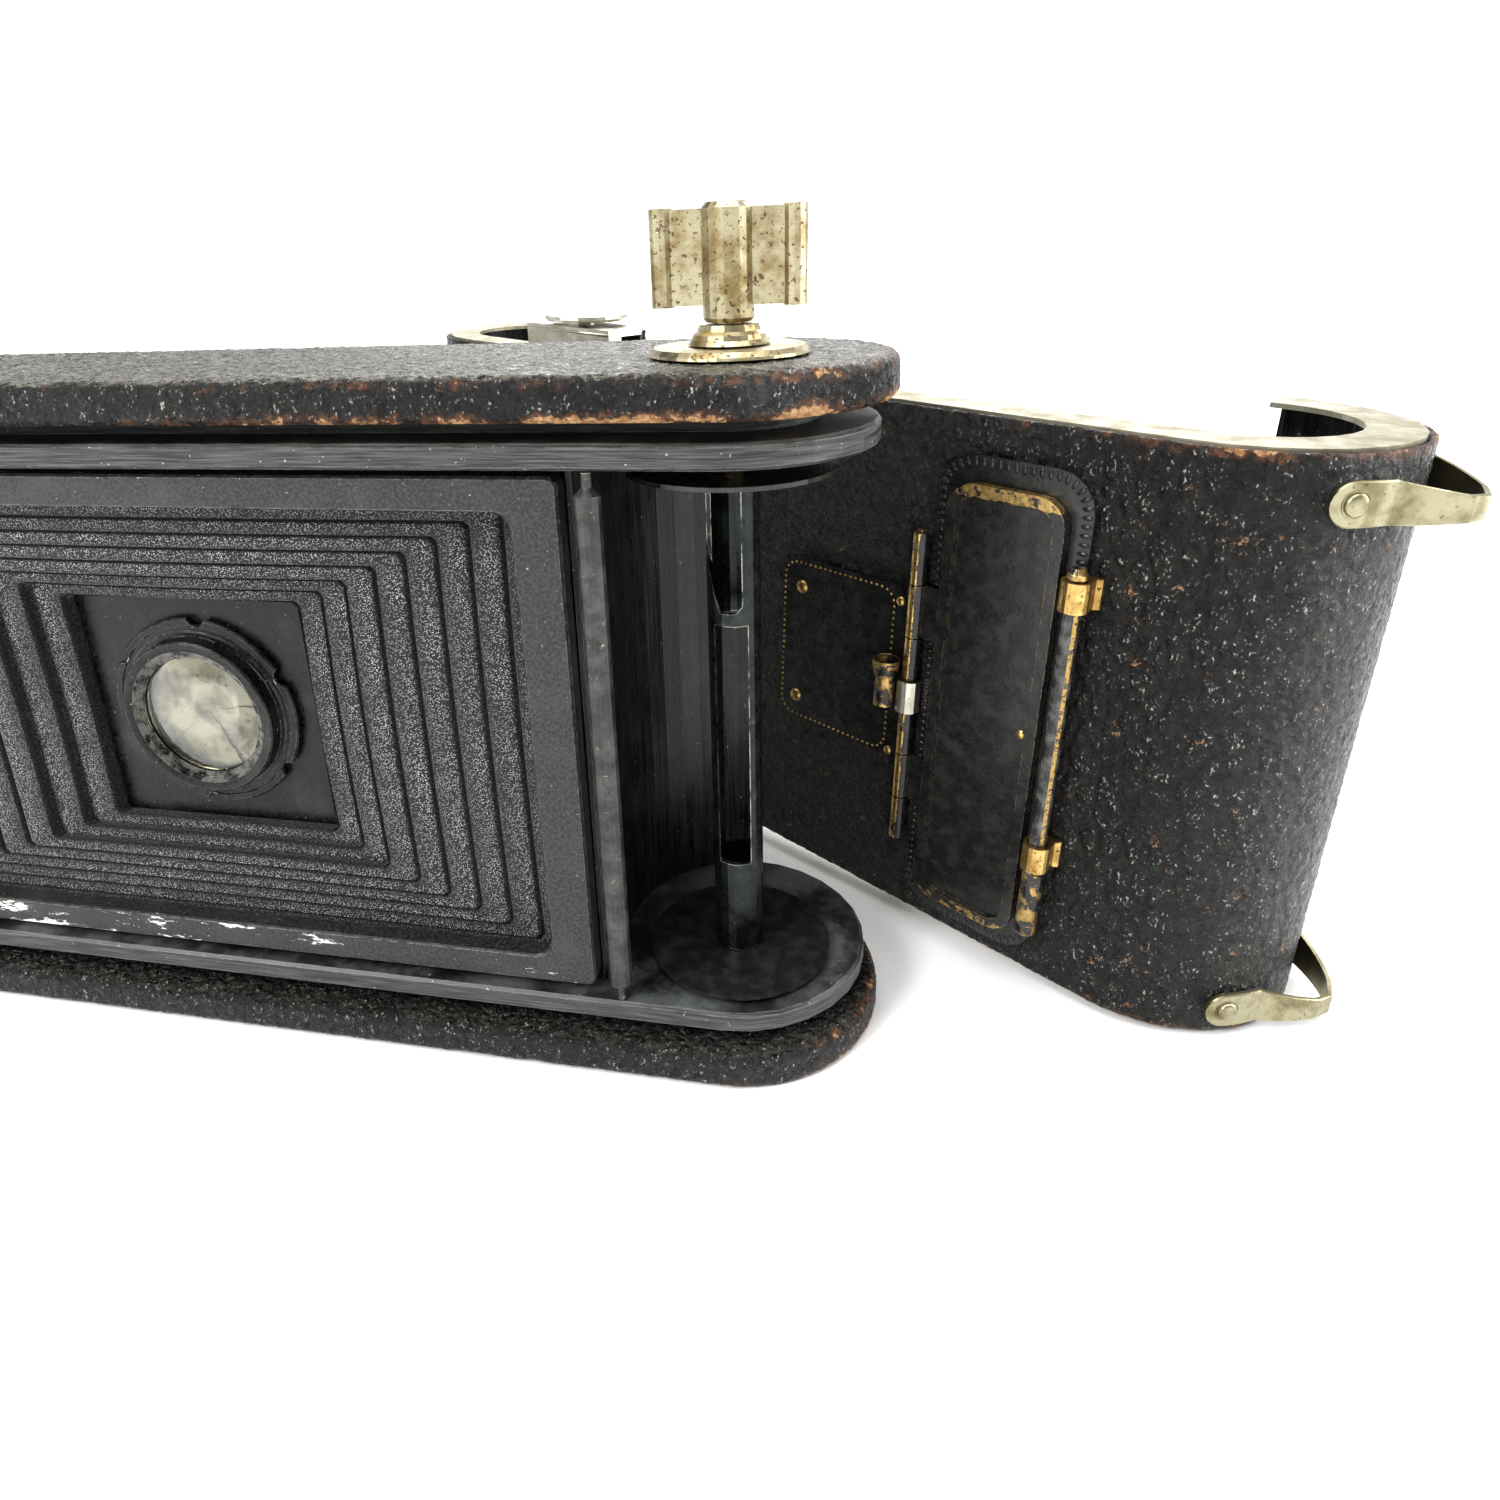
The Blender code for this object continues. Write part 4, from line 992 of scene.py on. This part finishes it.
def make_strap(name, height, reach):
    """Nickel strap bent out into a loop that narrows and dips towards its fold."""
    base = BACK_R + 0.3
    thick = 0.85
    crest = base + reach - thick
    turns = (43.9, 66, 84, 90, 96, 114, 122)
    reaches = (base, base, crest - 1.0, crest, crest - 1.0, base, base)
    halves = (3.6, 3.4, 2.1, 1.9, 2.2, 3.4, 3.6)
    dips = (0, 0.2, 1.1, 1.2, 1.0, 0.2, 0)
    end = 8.1  # degrees that the rounded end takes up
    angles = np.concatenate([np.linspace(43.95, 50, 12), np.linspace(52, 122, 36)])
    rings = []
    for out, side in ((0, -1), (0, 1), (0.6, 1), (thick, 0.93), (thick, -0.93), (0.6, -1)):
        ring = []
        for angle in angles:
            spread = max(0.0, LOOP_RIVET - angle) / end
            half = np.interp(angle, turns, halves) * math.sqrt(max(0.0, 1 - spread**2))
            distance = np.interp(angle, turns, reaches) + out
            turn = math.radians(angle - 90)
            level = height + side * half - np.interp(angle, turns, dips)
            ring.append((distance * math.cos(turn) * MM, (BACK_R + distance * math.sin(turn)) * MM, level * MM))
        rings.append(ring)
    verts, faces = skin(rings, closed_rings=False, closed_profile=True, caps=True)
    strap = mesh_object("strap", verts, faces, "nickel", BACK, smooth=False)
    turn = math.radians(LOOP_RIVET - 90)
    face = base + thick - 0.1
    spot = shifted(face * math.cos(turn), BACK_R + face * math.sin(turn), height)
    spot = BACK @ spot @ Matrix.Rotation(turn, 4, "Z") @ Matrix.Rotation(math.pi / 2, 4, "Y")
    head = [(2.15, 0.0), (2.15, 0.16), (2.0, 0.16), (1.95, 0.05), (1.8, 0.05), (1.75, 0.45), (1.5, 0.7), (0.8, 0.85)]
    rivet = lathe("rivet", head + [(0.01, 0.88)], "nickel", 28, spot)
    bpy.context.view_layer.update()
    return merged(name, [strap, rivet], BACK)


for end, sizes in STRAPS.items():
    finish_piece(make_strap(end + "_strap", *sizes), "back", "nickel", "strap_loop_" + end)


def make_catch_ridges():
    """Raised lines pressed along the front of the catch's upper head."""
    strips = []
    along = (-156.6, -141.0, -126.4)
    for height in (BACK_H - 5.6, BACK_H - 4.0, BACK_H + 5.9):
        rings = []
        for step in range(9):
            angle = math.pi * step / 8
            w = -4.1 - 0.22 * math.sin(angle)
            h = height + 0.34 * math.cos(angle)
            rings.append([(u * MM, w * MM, h * MM) for u in along])
        rings.append([(u * MM, -4.0 * MM, (height - 0.34) * MM) for u in along])
        verts, faces = skin(rings, closed_rings=False, closed_profile=True, caps=True)
        strips.append(mesh_object("strip", verts, faces, "bright", BACK))
    bpy.context.view_layer.update()
    return merged("catch_ridges", strips, BACK)


finish_piece(make_catch_ridges(), "back", "nickel")


def make_bed_scale():
    """Distance scale plate with plain tick marks, and screws, on the drop bed."""
    face = -67.2
    made = [block("scale", (face - 0.8, 46.0, 81.0), (face - 0.35, 92.0, 89.0), "bright")]
    ticks = 22
    for index in range(ticks):
        y = 48.0 + 42.0 * (index / (ticks - 1)) ** 0.8
        top = 86.5 if index % 4 == 0 else 84.4
        made.append(block("tick", (face - 0.38, y, 82.0), (face - 0.30, y + 0.22, top), "shutter"))
    for y, z in ((40.0, 60.4), (84.0, 60.4), (126.0, 60.4), (47.3, 88.0), (90.7, 88.0)):
        head = [(0.01, 0.0), (1.3, 0.0), (1.3, 0.25), (0.9, 0.5), (0.01, 0.55)]
        sunk = 0.45 if z < 70 else 0.1
        at = shifted(face - sunk, y, z) @ Matrix.Rotation(math.pi / 2, 4, "Y")
        made.append(lathe("screw", head, "bright", 18, at))
    bpy.context.view_layer.update()
    return merged("bed_scale", made)


finish_piece(make_bed_scale(), "bed", "nickel")

# ---- finishes on the CAD nodes ------------------------------------------------------------

FINISH = {
    "rail": "top_board bottom_board",
    "gate": "gate_frame",
    "inside": "inner_casing chamber_wall_right chamber_wall_left back_liner bed_plate",
    "shutter": "lens_board shutter_case finder_body front_panel",
    "leather": "bed_cover",
    "roller": "film_roller_right film_roller_left",
    "spool": "spool_core",
    "plate": "door_surround hinge_leaf",
    "flange": "spool_flange_lower spool_flange_upper",
    "door": "writing_door",
    "key": "winding_key key_sleeve key_plate",
    "nickel": "pull_knob slide_track carriage standard_frame strap_loop_upper strap_loop_lower tripod_socket "
    "folding_foot bed_button bed_track spool_centre_right spool_centre_left",
    "bright": "bed_strut_upper bed_strut_lower finder_bracket front_cell release_lever iris_pointer speed_pointer "
    "spring_clip catch_bar catch_button",
    "lip": "back_lip_lower back_lip_upper",
    "brass": "hinge_pin stylus_ring_upper stylus_ring_lower",
    "stylus": "stylus",
    "glass": "rear_lens front_lens finder_lens",
}
for look_name, names in FINISH.items():
    for name in names.split():
        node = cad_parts[name]
        for slot in node.material_slots:
            slot.material = LOOKS[look_name]

# ---- camera, light and floor --------------------------------------------------------------

camera_data = bpy.data.cameras.new("camera")
camera = bpy.data.objects.new("camera", camera_data)
bpy.context.scene.collection.objects.link(camera)
YAW, PITCH, ROLL = math.radians(12.68), math.radians(-20.82), math.radians(2.44)
EYE = (0.1245, -0.15821, 0.13647)
TURN = Matrix.Rotation(YAW, 3, "Z") @ Matrix.Rotation(PITCH, 3, "X") @ Matrix.Rotation(ROLL, 3, "Y")
forward = TURN.col[1]
pose = Matrix((TURN.col[0], TURN.col[2], -forward)).transposed().to_4x4()
pose.translation = EYE
camera.matrix_world = pose
camera_data.sensor_width = 36
camera_data.lens = 24.228
camera_data.shift_x = 0.0532
camera_data.shift_y = -0.0812
camera_data.clip_start = 0.005
bpy.context.scene.camera = camera


def area_light(name, place, target, size, power):
    data = bpy.data.lights.new(name, "AREA")
    data.shape = "RECTANGLE"
    data.size, data.size_y = size
    data.energy = power
    lamp = bpy.data.objects.new(name, data)
    lamp.location = place
    lamp.rotation_euler = (Vector(target) - Vector(place)).to_track_quat("-Z", "Y").to_euler()
    bpy.context.scene.collection.objects.link(lamp)


area_light("key_window", place=(-0.55, -0.75, 0.85), target=(0.05, 0, 0.05), size=(0.35, 0.35), power=12)
area_light("back_window", place=(0.1, 1.1, 0.75), target=(0.05, 0, 0.08), size=(1.2, 0.35), power=10)
area_light("side_strip", place=(1.0, 0.15, 0.4), target=(0.15, 0, 0.05), size=(0.25, 0.7), power=7)

sky = bpy.data.objects.new("sky", bpy.data.lights.new("sky", "SUN"))
sky.data.energy = 3.3
sky.data.angle = math.radians(70)
bpy.context.scene.collection.objects.link(sky)


def make_world():
    """White round the horizon, for a plain backdrop, and dim overhead, so that the lamps shape the light."""
    world = bpy.data.worlds.new("studio")
    bpy.context.scene.world = world
    world.use_nodes = True
    tree = world.node_tree
    where = tree.nodes.new("ShaderNodeTexCoord")
    split = tree.nodes.new("ShaderNodeSeparateXYZ")
    fade = tree.nodes.new("ShaderNodeMapRange")
    fade.interpolation_type = "SMOOTHSTEP"
    fade.inputs["From Min"].default_value = 0.27
    fade.inputs["From Max"].default_value = 0.45
    fade.inputs["To Min"].default_value = 1.0
    fade.inputs["To Max"].default_value = 0.08
    tree.links.new(where.outputs["Generated"], split.inputs[0])
    tree.links.new(split.outputs["Z"], fade.inputs["Value"])
    tree.links.new(fade.outputs["Result"], tree.nodes["Background"].inputs["Strength"])
    tree.nodes["Background"].inputs["Color"].default_value = (1, 1, 1, 1)


make_world()
bpy.context.scene.view_settings.view_transform = "Standard"
bpy.context.scene.view_settings.look = "Medium High Contrast"

floor_mesh = bpy.data.meshes.new("floor")
work = bmesh.new()
bmesh.ops.create_grid(work, x_segments=8, y_segments=8, size=9.0)
work.to_mesh(floor_mesh)
work.free()
floor = bpy.data.objects.new("floor", floor_mesh)
floor.location = (0, 0, -0.0002)
bpy.context.scene.collection.objects.link(floor)
paper = Look("studio_paper", roughness=0.9)
paper.set(Base_Color=paper.mix(paper.noise(300, 2), (0.90, 0.90, 0.90), (0.93, 0.93, 0.93)))
floor_mesh.materials.append(paper.material)
